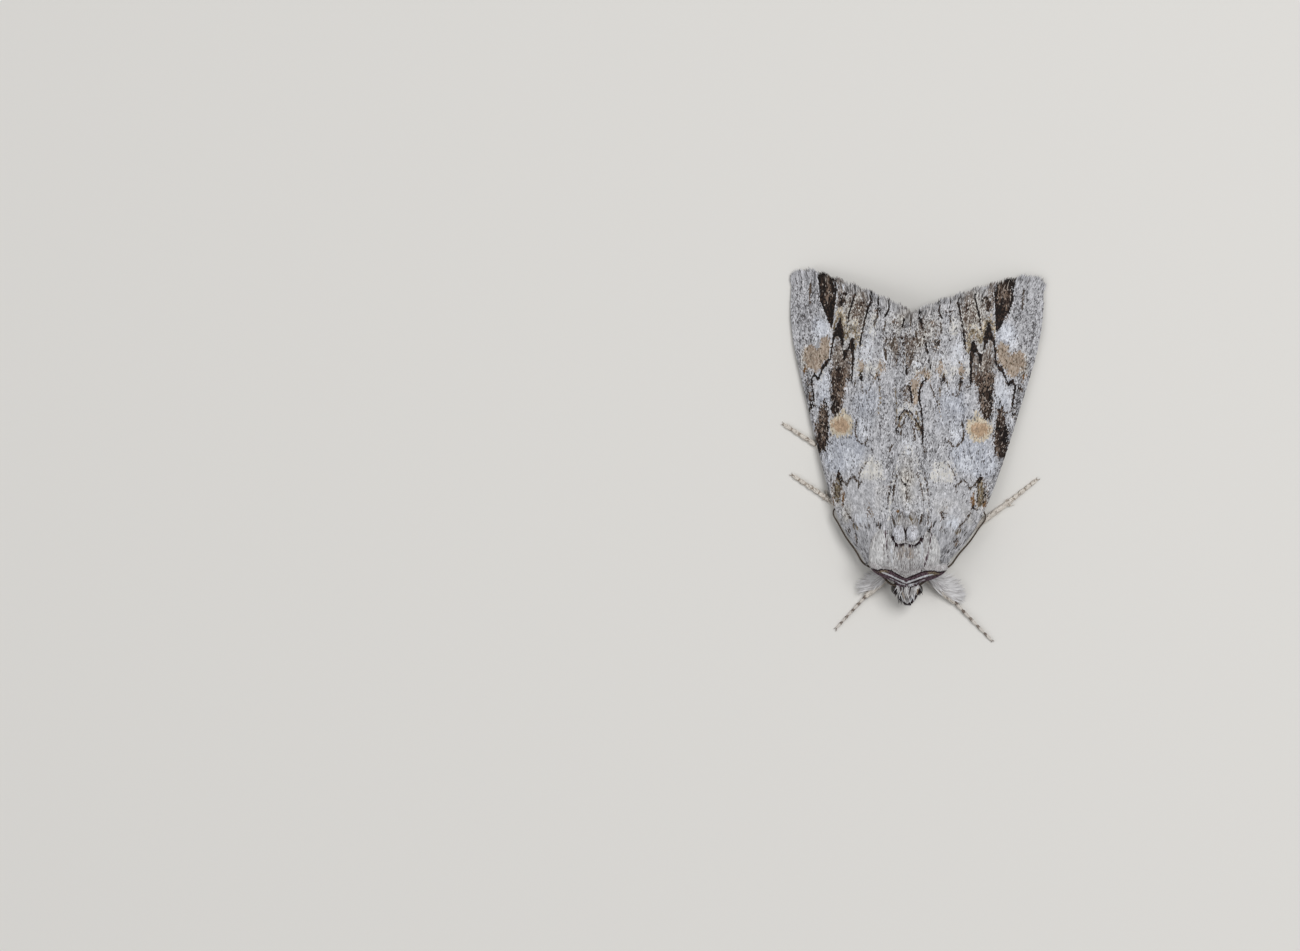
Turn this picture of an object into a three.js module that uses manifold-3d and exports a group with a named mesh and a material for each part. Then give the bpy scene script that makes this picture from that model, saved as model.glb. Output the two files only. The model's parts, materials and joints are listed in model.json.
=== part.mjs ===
// A large underwing moth at rest, life size, in millimetres.
// +Y points to the tail, +Z up off the surface it sits on, +X to the moth's own left.
// Each sub-part is one closed solid. Neighbours keep a gap of GAP to each other.

import * as THREE from 'three';
import { mergeVertices } from 'three/addons/utils/BufferGeometryUtils.js';
import Module from 'manifold-3d';

const wasm = await Module();
wasm.setup();

// ---------------------------------------------------------------- driving dimensions

const GAP = 0.3; // between neighbouring solids
const WING_THICKNESS = 0.6; // measured straight up, so about 0.5 across the sloping membrane
const LAYER_GAP = 0.4; // straight up, between wings that lie over one another
const FELT = 1e-4; // vertices closer than this are one

const COSTA_BASE_Y = -14.6; // where the front edge of the forewing leaves the shoulder
const HIND_EDGE_BASE_Y = -10; // where its hind edge leaves the thorax
const TORNUS_Y = 16.5; // hind corner of the forewing
const APEX_Y = 23.1; // where the outer margin would meet the front edge if the apex weren't rounded
const MARGIN_BOW = 0.72; // power that bows the outer margin between the two corners
const APEX_ROUND = 1.6; // how much the rounding takes off the apex
const APEX_ROUND_POWER = 14; // how near the apex the rounding stays
const SCALLOP = 0.22; // depth of the waves of the outer margin
const VEIN_HEIGHT = 0.2;
const VEIN_HALF_WIDTH = 0.26;
const OVERLAP = 1.6; // how far each forewing's hind edge reaches over the body's axis
const WING_ROWS = 18;

const THORAX = { center: [0, -12.4, 5.2], radii: [4.0, 4.3, 3.2] };
const COLLAR = { center: [0, -14.8, 5.1], radii: [4.8, 2.3, 1.9] };
const HEAD = { center: [0, -17.55, 3.8], radii: [1.95, 1.6, 1.75] };
const EYE_RADIUS = 0.85;
const EYE_CENTER = [1.45, -17.75, 3.75];
const ANTENNA_RADIUS = 0.26;
const TARSUS_RADIUS = 0.34;
const SOLE_LEVEL = 0.62; // height of a foot's middle line over the ground, in its own radii

// Pairs of [y, value], read as smooth curves along the body.
const halfWidth = smooth([
  [-16, 3.9], [COSTA_BASE_Y, 4.9], [-13.2, 5.7], [-12, 6.75], [-10, 8.15], [-8, 9.15], [-5, 10.3],
  [0, 11.85], [6, 13.5], [12, 15.1], [16, 15.75], [20, 15.8], [21.6, 15.45], [APEX_Y, 14.4],
]);
const ridgeHeight = smooth([
  [-17, 6.2], [-13, 7.6], [-8, 7.4], [0, 6.9], [8, 6.0], [13, 5.2], [17, 4.4], [23, 3.0],
]);
const edgeHeight = smooth([
  [-16, 3.9], [-13, 3.2], [-10, 2.6], [-8, 2.35], [-6, 2.0], [-2, 1.45], [4, 1.0],
  [12, 0.75], [16, 0.6], [24, 0.35],
]);
const hindEdge = smooth([
  [-10, 0.4], [-7, -0.8], [-2, 0.2 - OVERLAP], [4, -OVERLAP], [14, -OVERLAP], [TORNUS_Y, -0.8], [24, 0.2],
]);
const ROOF_POWER = 1.6; // cross-section of the folded wings: level at the ridge, steep at the edges

// ---------------------------------------------------------------- helpers

// A function of y that passes smoothly through the given [y, value] pairs.
function smooth(pairs) {
  const last = pairs.length - 1;
  const slope = (i) => {
    const a = pairs[Math.max(i - 1, 0)];
    const b = pairs[Math.min(i + 1, last)];
    return (b[1] - a[1]) / (b[0] - a[0]);
  };
  return (y) => {
    if (y <= pairs[0][0]) return pairs[0][1];
    if (y >= pairs[last][0]) return pairs[last][1];
    const i = pairs.findIndex((pair) => pair[0] > y) - 1;
    const span = pairs[i + 1][0] - pairs[i][0];
    const u = (y - pairs[i][0]) / span;
    const start = pairs[i][1] * (1 + 2 * u) * (1 - u) ** 2 + slope(i) * span * u * (1 - u) ** 2;
    const end = pairs[i + 1][1] * u * u * (3 - 2 * u) + slope(i + 1) * span * u * u * (u - 1);
    return start + end;
  };
}

const step01 = THREE.MathUtils.smoothstep;
const vec = (p) => new THREE.Vector3(...p);
const mirrored = (p, side) => [p[0] * side, p[1], p[2]];

// Closed geometry to solid.
function solid(geometry) {
  const bare = geometry.clone();
  bare.deleteAttribute('normal');
  bare.deleteAttribute('uv');
  const merged = mergeVertices(bare, FELT);
  return new wasm.Manifold(new wasm.Mesh({
    numProp: 3,
    vertProperties: merged.attributes.position.array,
    triVerts: Uint32Array.from(merged.index.array),
  }));
}

// Solid back to geometry, keeping its largest closed surface only.
function geometryOf(shape) {
  const pieces = shape.decompose();
  const largest = pieces.reduce((a, b) => (b.volume() > a.volume() ? b : a));
  const mesh = largest.getMesh();
  const geometry = new THREE.BufferGeometry();
  geometry.setAttribute('position', new THREE.BufferAttribute(Float32Array.from(mesh.vertProperties), 3));
  geometry.setIndex(new THREE.BufferAttribute(Uint32Array.from(mesh.triVerts), 1));
  return geometry;
}

const joined = (shapes) => shapes.reduce((a, b) => a.add(b));
const cutBy = (shape, cutters) => cutters.reduce((a, b) => a.subtract(b), shape);

// An ellipsoid, grown all round where it is to cut a neighbour.
// It may lean outwards about the body's length and then turn about the upright.
function ellipsoid({ center, radii, lean = 0, turn = 0 }, grow = 0, sides = 24, rings = 14) {
  const ball = new THREE.SphereGeometry(1, sides, rings);
  ball.rotateX(Math.PI / 2);
  ball.scale(...radii.map((radius) => radius + grow));
  ball.rotateY(lean);
  ball.rotateZ(turn);
  ball.translate(...center);
  return solid(ball);
}

// A grid of points closed into a thin sheet; both faces are split along the same diagonals.
// point(i, j, top) gives the place of grid corner i, j on the top or the bottom face.
function sheet(rows, columns, point) {
  const positions = [];
  const index = [];
  const at = (i, j, top) => (top ? 0 : (rows + 1) * (columns + 1)) + i * (columns + 1) + j;
  for (const top of [true, false]) {
    for (let i = 0; i <= rows; i += 1) {
      for (let j = 0; j <= columns; j += 1) positions.push(...point(i, j, top));
    }
  }
  for (let i = 0; i < rows; i += 1) {
    for (let j = 0; j < columns; j += 1) {
      const corners = (top) => [at(i, j, top), at(i, j + 1, top), at(i + 1, j + 1, top), at(i + 1, j, top)];
      const [a, b, c, d] = corners(true);
      const [e, f, g, h] = corners(false);
      index.push(a, b, c, a, c, d, e, g, f, e, h, g);
    }
  }
  const wall = (i0, j0, i1, j1) => {
    const [a, b, c, d] = [at(i0, j0, true), at(i1, j1, true), at(i1, j1, false), at(i0, j0, false)];
    index.push(a, c, b, a, d, c);
  };
  for (let j = 0; j < columns; j += 1) {
    wall(0, j, 0, j + 1);
    wall(rows, j + 1, rows, j);
  }
  for (let i = 0; i < rows; i += 1) {
    wall(i + 1, 0, i, 0);
    wall(i, columns, i + 1, columns);
  }
  const geometry = new THREE.BufferGeometry();
  geometry.setAttribute('position', new THREE.Float32BufferAttribute(positions, 3));
  geometry.setIndex(index);
  return geometry;
}

// The same sheet seen from the other side of the body.
function flipped(geometry) {
  const index = geometry.index.array;
  for (let i = 0; i < index.length; i += 3) [index[i + 1], index[i + 2]] = [index[i + 2], index[i + 1]];
  return geometry;
}

// A straight limb piece turned on a lathe: profile holds [radius, share of the length].
function limb(start, end, profile, sides = 8) {
  const from = vec(start);
  const along = vec(end).sub(from);
  const length = along.length();
  const outline = profile.map(([radius, share]) => new THREE.Vector2(radius, share * length));
  const lathe = new THREE.LatheGeometry(
    [new THREE.Vector2(0, 0), ...outline, new THREE.Vector2(0, length)],
    sides,
    Math.PI / sides,
  );
  const upright = new THREE.Vector3(0, 1, 0);
  lathe.applyQuaternion(new THREE.Quaternion().setFromUnitVectors(upright, along.normalize()));
  lathe.translate(from.x, from.y, from.z);
  return lathe;
}

// A flat, tapered lock of hair. It sets out along direction and is drawn aside by bend at its tip.
const LOCK_SHARES = [0, 0.45, 0.8];
const LOCK_WIDTHS = [0.85, 1, 0.62];

function lock(root, direction, bend, width, thickness) {
  const along = vec(direction);
  const aside = vec(bend);
  const across = along.clone().cross(aside).normalize();
  const up = across.clone().cross(along).normalize();
  const centre = (share) => vec(root).addScaledVector(along, share).addScaledVector(aside, share ** 2);
  const points = [];
  LOCK_SHARES.forEach((share, ring) => {
    const halfAcross = (width * LOCK_WIDTHS[ring]) / 2;
    const halfUp = (thickness * (1 - share / 2)) / 2;
    for (const [a, u] of [[1, 1], [-1, 1], [-1, -1], [1, -1]]) {
      points.push(centre(share).addScaledVector(across, a * halfAcross).addScaledVector(up, u * halfUp));
    }
  });
  points.push(centre(1));
  const index = [0, 1, 2, 0, 2, 3];
  for (let k = 0; k < 4; k += 1) {
    const next = (k + 1) % 4;
    for (let ring = 0; ring + 1 < LOCK_SHARES.length; ring += 1) {
      const [low, high] = [ring * 4, ring * 4 + 4];
      index.push(low + k, high + k, high + next, low + k, high + next, low + next);
    }
    const top = 4 * (LOCK_SHARES.length - 1);
    index.push(top + k, points.length - 1, top + next);
  }
  const geometry = new THREE.BufferGeometry().setFromPoints(points);
  geometry.setIndex(index);
  return solid(geometry);
}

// What would sink below the ground is pressed flat on it, which gives the foot its sole.
function pressedFlat(geometry) {
  const position = geometry.attributes.position;
  for (let i = 0; i < position.count; i += 1) position.setZ(i, Math.max(position.getZ(i), 0));
  return geometry;
}

// ---------------------------------------------------------------- finishes

const finish = (color, roughness) => new THREE.MeshStandardMaterial({ color, roughness, metalness: 0 });
const finishes = {
  wingScales: finish(0xadacad, 0.85),
  hindwingScales: finish(0x2b2523, 0.85),
  bodyFur: finish(0x9b9591, 0.95),
  abdomenFur: finish(0x8d8478, 0.95),
  collarFur: finish(0x665c60, 0.95),
  eye: finish(0x1c1a12, 0.2),
  antenna: finish(0x6a6058, 0.7),
  legScales: finish(0xbdb7ae, 0.85),
  footScales: finish(0x4a423d, 0.8),
};

const moth = new THREE.Group();

function node(name, geometry, material, parent = moth) {
  const mesh = new THREE.Mesh(geometry, material);
  mesh.name = name;
  parent.add(mesh);
  return mesh;
}

// ---------------------------------------------------------------- body

// The crest of two pads at the back of the thorax: locks that rise and lean towards the head.
const CREST_ROOT = [0.8, -9.15, 6.9]; // the first number spreads the roots, as a share of each lock's place
const CREST_RISE = [0.25, -1.0, 2.15];
const CREST_BEND = [0.1, -0.85, -0.15];
const CREST_LOCKS = [[0.36, 1.06], [0.9, 1.12], [1.42, 0.95]]; // distance from the axis, size
const CREST_LAYERS = [[0, 0], [0.75, 0.12]]; // how far forward and how much lower each layer starts
const CREST_LOCK_WIDTH = 0.7;
const CREST_LOCK_THICKNESS = 0.8;

function crestLocks(side) {
  const locks = [];
  for (const [forward, lower] of CREST_LAYERS) {
    for (const [out, size] of CREST_LOCKS) {
      locks.push(lock(
        [side * out * CREST_ROOT[0], CREST_ROOT[1] - forward, CREST_ROOT[2] - lower],
        [side * out * CREST_RISE[0], size * CREST_RISE[1], size * CREST_RISE[2]],
        [side * out * CREST_BEND[0], size * CREST_BEND[1], CREST_BEND[2]],
        CREST_LOCK_WIDTH,
        CREST_LOCK_THICKNESS,
      ));
    }
  }
  return locks;
}
const crestRoom = (side) => ({ center: [side * 0.85, -10.25, 8.0], radii: [1.1, 1.5, 1.5] });
const tegula = (side) => ({
  center: [side * 3.3, -12.9, 6.6],
  radii: [1.5, 2.6, 0.75],
  lean: side * 0.72,
  turn: side * 0.1,
});
const thoraxForms = (grow) => [
  ellipsoid(THORAX, grow),
  ...[1, -1].map((side) => ellipsoid(tegula(side), grow, 14, 9)),
];
const crestRooms = [1, -1].map((side) => ellipsoid(crestRoom(side), GAP, 12, 8));
const thoraxRoom = joined([...thoraxForms(GAP), ...crestRooms]);
const collarRoom = ellipsoid(COLLAR, GAP);

const crest = [1, -1].flatMap(crestLocks);
node('thorax', geometryOf(joined([...thoraxForms(0), ...crest])), finishes.bodyFur);
node('collar', geometryOf(cutBy(ellipsoid(COLLAR), [thoraxRoom])), finishes.collarFur);

const eyeRoom = [1, -1].map((side) => ellipsoid({
  center: mirrored(EYE_CENTER, side),
  radii: [EYE_RADIUS, EYE_RADIUS, EYE_RADIUS],
}, GAP, 12, 8));
node('head', geometryOf(cutBy(ellipsoid(HEAD), [thoraxRoom, collarRoom, ...eyeRoom])), finishes.bodyFur);

// The abdomen lies under the folded wings: an oval section whose top follows them.
const ABDOMEN_SPAN = [-8.6, 12.3];
const ABDOMEN_BOTTOM = 0.5;
const ABDOMEN_RINGS = 15;
const ABDOMEN_SEGMENTS = 7;
const SEGMENT_STEP = 0.05; // how much each segment's hind rim stands out
const ABDOMEN_SLACK = [0.15, 0.3]; // free height under the wings at its root, and what its tip adds
const abdomenHalfWidth = smooth([
  [-8.6, 1.9], [-7, 2.7], [-4, 3.1], [0, 3.05], [4, 2.75], [8, 2.2], [11, 1.4], [12.3, 0.7],
]);
const underWings = ridgeStack(4);

// Height that stays free under the ridge below so many layers of wing.
function ridgeStack(layers) {
  return (y) => ridgeHeight(y) - layers * (WING_THICKNESS + LAYER_GAP) + WING_THICKNESS;
}

function abdomenGeometry() {
  const profile = [new THREE.Vector2(0, 0)];
  for (let i = 0; i <= ABDOMEN_RINGS; i += 1) {
    const share = i / ABDOMEN_RINGS;
    const inSegment = (share * ABDOMEN_SEGMENTS) % 1;
    profile.push(new THREE.Vector2(1 - SEGMENT_STEP * (1 - inSegment), share));
  }
  profile.push(new THREE.Vector2(0, 1));
  const lathe = new THREE.LatheGeometry(profile, 16);
  const position = lathe.attributes.position;
  for (let i = 0; i < position.count; i += 1) {
    const share = position.getY(i);
    const y = THREE.MathUtils.lerp(...ABDOMEN_SPAN, share);
    const top = underWings(y) - ABDOMEN_SLACK[0] - ABDOMEN_SLACK[1] * share;
    const half = (top - ABDOMEN_BOTTOM) / 2;
    const across = position.getX(i) * abdomenHalfWidth(y);
    const up = ABDOMEN_BOTTOM + half * (1 + position.getZ(i));
    position.setXYZ(i, across, y, up);
  }
  return lathe;
}
node('abdomen', geometryOf(cutBy(solid(abdomenGeometry()), [thoraxRoom])), finishes.abdomenFur);

for (const [side, name] of [[1, 'left'], [-1, 'right']]) {
  node(`eye_${name}`, geometryOf(ellipsoid({
    center: [0, 0, 0],
    radii: [EYE_RADIUS, EYE_RADIUS, EYE_RADIUS],
  }, 0, 12, 8)), finishes.eye).position.set(...mirrored(EYE_CENTER, side));

  const palp = limb(
    mirrored([0.72, -17.8, 2.2], side),
    mirrored([0.4, -19.55, 3.1], side),
    [[0.4, 0], [0.5, 0.35], [0.42, 0.7], [0.2, 1]],
  );
  node(`palp_${name}`, geometryOf(cutBy(solid(palp), [ellipsoid(HEAD, GAP)])), finishes.bodyFur);
}

// ---------------------------------------------------------------- wings

// Height of the folded wings' common roof over a point.
function roof(x, y) {
  const share = Math.min(Math.abs(x) / halfWidth(y), 1);
  const edge = edgeHeight(y);
  return edge + (ridgeHeight(y) - edge) * (1 - share ** ROOF_POWER);
}

// Veins by their place across the wing (0 hind edge, 1 front edge) and where along it each begins.
const VEINS = [[0.08, 0], [0.2, 0.35], [0.31, 0], [0.42, 0.42], [0.52, 0.46], [0.61, 0.42], [0.69, 0],
  [0.77, 0.5], [0.84, 0.4], [0.91, 0.25], [0.965, 0]];
const FORE_SPAN = 17; // mean width, used to give a vein its width across the grid
const foreColumns = [0];
for (const [place] of VEINS) {
  const half = VEIN_HALF_WIDTH / FORE_SPAN;
  foreColumns.push(place - half, place, place + half);
}
foreColumns.push(1);

function veinLift(column, share) {
  if (column % 3 !== 2 || column === foreColumns.length - 1) return 0;
  const begins = VEINS[(column - 2) / 3][1];
  return VEIN_HEIGHT * step01(share, begins - 0.01, begins + 0.12);
}

// Where the outer margin ends at a distance from the axis, before its scallops.
function outerMargin(x) {
  const share = (x + OVERLAP) / (halfWidth(20) + OVERLAP);
  return TORNUS_Y + (APEX_Y - TORNUS_Y) * share ** MARGIN_BOW - APEX_ROUND * share ** APEX_ROUND_POWER;
}

// Each forewing runs from its base line to the scalloped outer margin.
function forewingGeometry(side, drop) {
  const columns = foreColumns.length - 1;
  const point = (i, j, top) => {
    const across = foreColumns[j];
    const share = i / WING_ROWS;
    const base = THREE.MathUtils.lerp(HIND_EDGE_BASE_Y, COSTA_BASE_Y, across);
    const onVein = j % 3 === 2 ? 1 : 0;
    const wave = SCALLOP * (onVein - 0.5) * (j > 0 && j < columns ? 1 : 0);
    const margin = outerMargin(THREE.MathUtils.lerp(-OVERLAP, halfWidth(20), across)) + wave;
    const y = THREE.MathUtils.lerp(base, margin, share);
    const x = THREE.MathUtils.lerp(hindEdge(y), halfWidth(y), across);
    const level = Math.max(roof(x, y) - drop(x), WING_THICKNESS);
    return [side * x, y, top ? level + veinLift(j, share) : level - WING_THICKNESS];
  };
  const geometry = sheet(WING_ROWS, columns, point);
  return side > 0 ? geometry : flipped(geometry);
}

// The right forewing dips under the left one near the axis.
const dip = (x) => (WING_THICKNESS + LAYER_GAP) * (1 - step01(x, OVERLAP + 0.4, OVERLAP + 2.6));
const bodyRoom = [thoraxRoom, collarRoom];
const forewing = (side, drop) => geometryOf(cutBy(solid(forewingGeometry(side, drop)), bodyRoom));
node('forewing_left', forewing(1, () => 0), finishes.wingScales);
node('forewing_right', forewing(-1, dip), finishes.wingScales);

// The hindwings are folded away beneath, pleated like a fan, with a pleat's crest on each vein.
const HIND_ROWS = 14;
const HIND_COLUMNS = 14;
const HIND_BASE_Y = [-8.4, -9.6]; // hind and front end of its base line
const HIND_MARGIN_Y = [15.2, 18.6];
// How far the hindwing's front edge lies inside the forewing's.
const hindInset = smooth([[-9, 2.0], [8, 2.6], [15, 3.3], [19, 4.6]]);
const HIND_AXIS_GAP = 0.3;
const PLEAT = 0.14;

function hindwingGeometry(side) {
  const point = (i, j, top) => {
    const across = j / HIND_COLUMNS;
    const share = i / HIND_ROWS;
    const pleat = j % 2 ? PLEAT * step01(share, 0, 0.3) : 0;
    const margin = THREE.MathUtils.lerp(...HIND_MARGIN_Y, Math.sqrt(across)) + (j % 2 ? SCALLOP : 0);
    const y = THREE.MathUtils.lerp(THREE.MathUtils.lerp(...HIND_BASE_Y, across), margin, share);
    const x = THREE.MathUtils.lerp(HIND_AXIS_GAP, halfWidth(y) - hindInset(y), across);
    const level = roof(x, y) - (WING_THICKNESS + LAYER_GAP) - dip(x) - PLEAT;
    return [side * x, y, level + pleat - (top ? 0 : WING_THICKNESS)];
  };
  const geometry = sheet(HIND_ROWS, HIND_COLUMNS, point);
  return side > 0 ? geometry : flipped(geometry);
}
for (const [side, name] of [[1, 'left'], [-1, 'right']]) {
  const hindwing = cutBy(solid(hindwingGeometry(side)), bodyRoom);
  node(`hindwing_${name}`, geometryOf(hindwing), finishes.hindwingScales);
}

// ---------------------------------------------------------------- antennae

// Each springs from the top of the head, lies back along the front edge and is tucked under it.
const EDGE_CLEARANCE = GAP + ANTENNA_RADIUS + 0.08;
const besideEdge = (y) => {
  const slope = (halfWidth(y + 0.1) - halfWidth(y - 0.1)) / 0.2;
  const outward = new THREE.Vector2(1, -slope).setLength(EDGE_CLEARANCE);
  return [halfWidth(y) + outward.x, y + outward.y, edgeHeight(y) - WING_THICKNESS / 2];
};
const antennaRoute = [
  [0.9, -17.3, 4.6], [1.75, -17.45, 4.85], [3.1, -16.6, 3.8], [4.4, -15.6, 3.4],
  ...[-14.1, -12.6, -11, -9.4].map(besideEdge),
  [9.55, -8.2, 1.55], [9.0, -6.7, 1.3], [8.5, -4.2, 1.3], [8.5, 1.6, 1.3],
];
const ANTENNA_STEPS = 32;

for (const [side, name] of [[1, 'left'], [-1, 'right']]) {
  const route = new THREE.CatmullRomCurve3(antennaRoute.map((p) => vec(mirrored(p, side))));
  const round = new THREE.Shape().absarc(0, 0, ANTENNA_RADIUS, 0, Math.PI * 2);
  const along = { steps: ANTENNA_STEPS, curveSegments: 3, extrudePath: route };
  const tube = solid(new THREE.ExtrudeGeometry(round, along));
  node(`antenna_${name}`, geometryOf(cutBy(tube, [collarRoom, ellipsoid(HEAD, GAP)])), finishes.antenna);
}

// ---------------------------------------------------------------- legs

// Ends of each leg's joints: hip, knee, ankle, claw. The hip lies in the thorax and is cut clear of it.
// The legs aren't quite alike on the two sides, as on a moth that has just settled.
const legs = {
  foreleg_left: [[1.6, -13.4, 3.2], [2.8, -16.3, 1.5], [5.9, -18.8, 0.6], [10.6, -23.4]],
  foreleg_right: [[-1.6, -13.4, 3.2], [-2.6, -16.2, 1.5], [-5.2, -18.4, 0.6], [-8.8, -22.5]],
  midleg_left: [[2.0, -11.6, 3.0], [6.4, -10.7, 0.9], [12.1, -6.3, 0.45], [15.6, -3.3]],
  midleg_right: [[-1.9, -11.6, 3.0], [-5.6, -9.6, 0.9], [-10.6, -6.3, 0.45], [-14.9, -3.7]],
  hindleg_left: [[1.7, -10.4, 3.0], [4.9, -4.2, 0.9], [8.7, 2.0, 0.45], [11.3, 7.4]],
  hindleg_right: [[-1.7, -10.4, 3.0], [-5.0, -4.3, 0.9], [-11.0, -0.4, 0.45], [-16.2, 2.65]],
};
const THIGH = [[0.5, 0], [0.62, 0.35], [0.5, 0.8], [0.36, 1]];
const SHIN = [[0.3, 0], [0.36, 0.3], [0.4, 0.75], [0.34, 1]];
const TARSAL_JOINTS = 5;

// Five little joints, each widening towards its far end, and a blunt tip.
const tarsusProfile = [];
for (let joint = 0; joint < TARSAL_JOINTS; joint += 1) {
  const taper = 1 - 0.03 * joint;
  tarsusProfile.push([TARSUS_RADIUS * 0.8 * taper, joint / TARSAL_JOINTS]);
  tarsusProfile.push([TARSUS_RADIUS * taper, (joint + 0.8) / TARSAL_JOINTS]);
}
tarsusProfile.push([TARSUS_RADIUS * 0.4, 1]);

// The point a gap's width along the way from a to b.
function pastGap(a, b) {
  return vec(a).add(vec(b).sub(vec(a)).setLength(GAP)).toArray();
}

// The front shins carry a fan of long hair on their outer side.
const FRINGE_LOCKS = 9;
const FRINGE_TOP = { turn: 0.5, length: 3.1 };
const FRINGE_END = { turn: -0.5, length: 1.9 };
const FRINGE_SPAN = [0.08, 0.8]; // the shares of the shin it grows along
const FRINGE_STAGGER = 0.1; // every second lock starts this much higher
const FRINGE_SUNK = 0.15; // how far past the shin's middle its locks are rooted
const FRINGE_LOCK_WIDTH = 0.62;
const FRINGE_LOCK_THICKNESS = 0.5;

function shinFringe(knee, ankle, side) {
  const locks = [];
  for (let i = 0; i < FRINGE_LOCKS; i += 1) {
    const share = i / (FRINGE_LOCKS - 1);
    const turn = THREE.MathUtils.lerp(FRINGE_TOP.turn, FRINGE_END.turn, share);
    const length = THREE.MathUtils.lerp(FRINGE_TOP.length, FRINGE_END.length, share) * (i % 2 ? 0.9 : 1);
    const root = vec(knee).lerp(vec(ankle), THREE.MathUtils.lerp(...FRINGE_SPAN, share));
    const level = i % 2 ? FRINGE_STAGGER : -FRINGE_STAGGER;
    locks.push(lock(
      [root.x - side * FRINGE_SUNK, root.y, root.z + level],
      [side * length * Math.cos(turn), length * Math.sin(turn), FRINGE_STAGGER - level],
      [0, -0.15, 0.3 - root.z * 0.4],
      FRINGE_LOCK_WIDTH,
      FRINGE_LOCK_THICKNESS,
    ));
  }
  return locks;
}

// Pairs of stiff spurs near the end of the other shins, at these shares of their length.
const SPURS = { foreleg: [], midleg: [0.92], hindleg: [0.6, 0.92] };
const SPUR_LENGTH = 1.5;
const SPUR_SPREAD = 0.75;
const SPUR = [[0.22, 0], [0.22, 0.4], [0.05, 1]];

function shinSpurs(knee, ankle, shares) {
  const heading = Math.atan2(ankle[1] - knee[1], ankle[0] - knee[0]);
  return shares.flatMap((share) => [1, -1].map((way) => {
    const root = vec(knee).lerp(vec(ankle), share);
    const turned = heading + way * SPUR_SPREAD;
    const tip = [root.x + SPUR_LENGTH * Math.cos(turned), root.y + SPUR_LENGTH * Math.sin(turned), 0.3];
    return solid(limb(root.toArray(), tip, SPUR, 6));
  }));
}

for (const [name, [hip, knee, ankle, claw]] of Object.entries(legs)) {
  const [pair, sideName] = name.split('_');
  const side = sideName === 'left' ? 1 : -1;
  const thigh = solid(limb(hip, knee, THIGH));
  node(`${name}_femur`, geometryOf(cutBy(thigh, [thoraxRoom])), finishes.bodyFur);
  const shin = solid(pressedFlat(limb(pastGap(knee, ankle), ankle, SHIN)));
  const fringe = pair === 'foreleg' ? shinFringe(knee, ankle, side) : [];
  const spurs = shinSpurs(knee, ankle, SPURS[pair]);
  node(`${name}_tibia`, geometryOf(joined([shin, ...fringe, ...spurs])), finishes.legScales);
  const foot = [...claw, TARSUS_RADIUS * SOLE_LEVEL];
  const heel = [ankle[0], ankle[1], TARSUS_RADIUS * SOLE_LEVEL];
  const tarsus = pressedFlat(limb(pastGap(heel, foot), foot, tarsusProfile));
  node(`${name}_tarsus`, geometryOf(solid(tarsus)), finishes.footScales);
}

// ---------------------------------------------------------------- place

// The origin is on the ground, in the middle of the moth's outline.
const box = new THREE.Box3().setFromObject(moth);
const middle = box.getCenter(new THREE.Vector3());
moth.position.set(-middle.x, -middle.y, 0);

const model = new THREE.Group();
model.add(moth);

export default model;
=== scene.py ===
# %% [markdown]
# # An underwing moth at rest
# A large grey moth sits flat with its forewings folded like a low roof. Its solids come from the
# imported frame: they settle where each part is. Here each one is dressed: wings as thin sheets whose
# scales carry the pattern, a body under a coat of hair-like scales, and fine legs and antennae.

# %% Load the frame
import json
import math
import bpy
import numpy as np
from mathutils import Euler, Matrix, Vector

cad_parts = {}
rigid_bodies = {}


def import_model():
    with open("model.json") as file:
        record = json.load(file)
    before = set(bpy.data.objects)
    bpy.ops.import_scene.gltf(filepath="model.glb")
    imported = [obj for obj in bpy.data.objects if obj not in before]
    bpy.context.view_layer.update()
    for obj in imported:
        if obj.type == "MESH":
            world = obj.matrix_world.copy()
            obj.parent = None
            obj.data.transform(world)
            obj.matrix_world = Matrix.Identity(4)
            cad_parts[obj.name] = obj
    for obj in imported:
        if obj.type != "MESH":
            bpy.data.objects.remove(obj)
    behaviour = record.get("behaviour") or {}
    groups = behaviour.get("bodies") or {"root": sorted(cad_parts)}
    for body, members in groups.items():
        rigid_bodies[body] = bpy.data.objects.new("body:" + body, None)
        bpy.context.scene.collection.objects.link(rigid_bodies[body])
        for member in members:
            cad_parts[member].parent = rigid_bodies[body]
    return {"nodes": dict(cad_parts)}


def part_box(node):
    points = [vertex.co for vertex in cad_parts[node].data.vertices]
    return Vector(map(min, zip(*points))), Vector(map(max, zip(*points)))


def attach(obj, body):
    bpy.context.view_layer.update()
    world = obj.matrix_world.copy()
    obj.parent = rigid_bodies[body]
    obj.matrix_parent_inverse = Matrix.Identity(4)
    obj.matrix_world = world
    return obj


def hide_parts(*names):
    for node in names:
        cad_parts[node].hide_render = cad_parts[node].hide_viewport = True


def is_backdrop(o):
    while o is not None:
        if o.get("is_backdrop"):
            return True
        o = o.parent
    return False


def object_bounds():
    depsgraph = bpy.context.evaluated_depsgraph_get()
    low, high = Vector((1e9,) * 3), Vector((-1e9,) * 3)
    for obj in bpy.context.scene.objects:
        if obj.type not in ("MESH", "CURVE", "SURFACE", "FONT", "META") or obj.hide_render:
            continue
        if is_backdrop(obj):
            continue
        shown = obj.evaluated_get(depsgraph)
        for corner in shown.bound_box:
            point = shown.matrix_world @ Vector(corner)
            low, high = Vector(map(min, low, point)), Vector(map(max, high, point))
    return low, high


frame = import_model()
cad_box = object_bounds()
print("solids in the frame:", len(frame["nodes"]))

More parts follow.
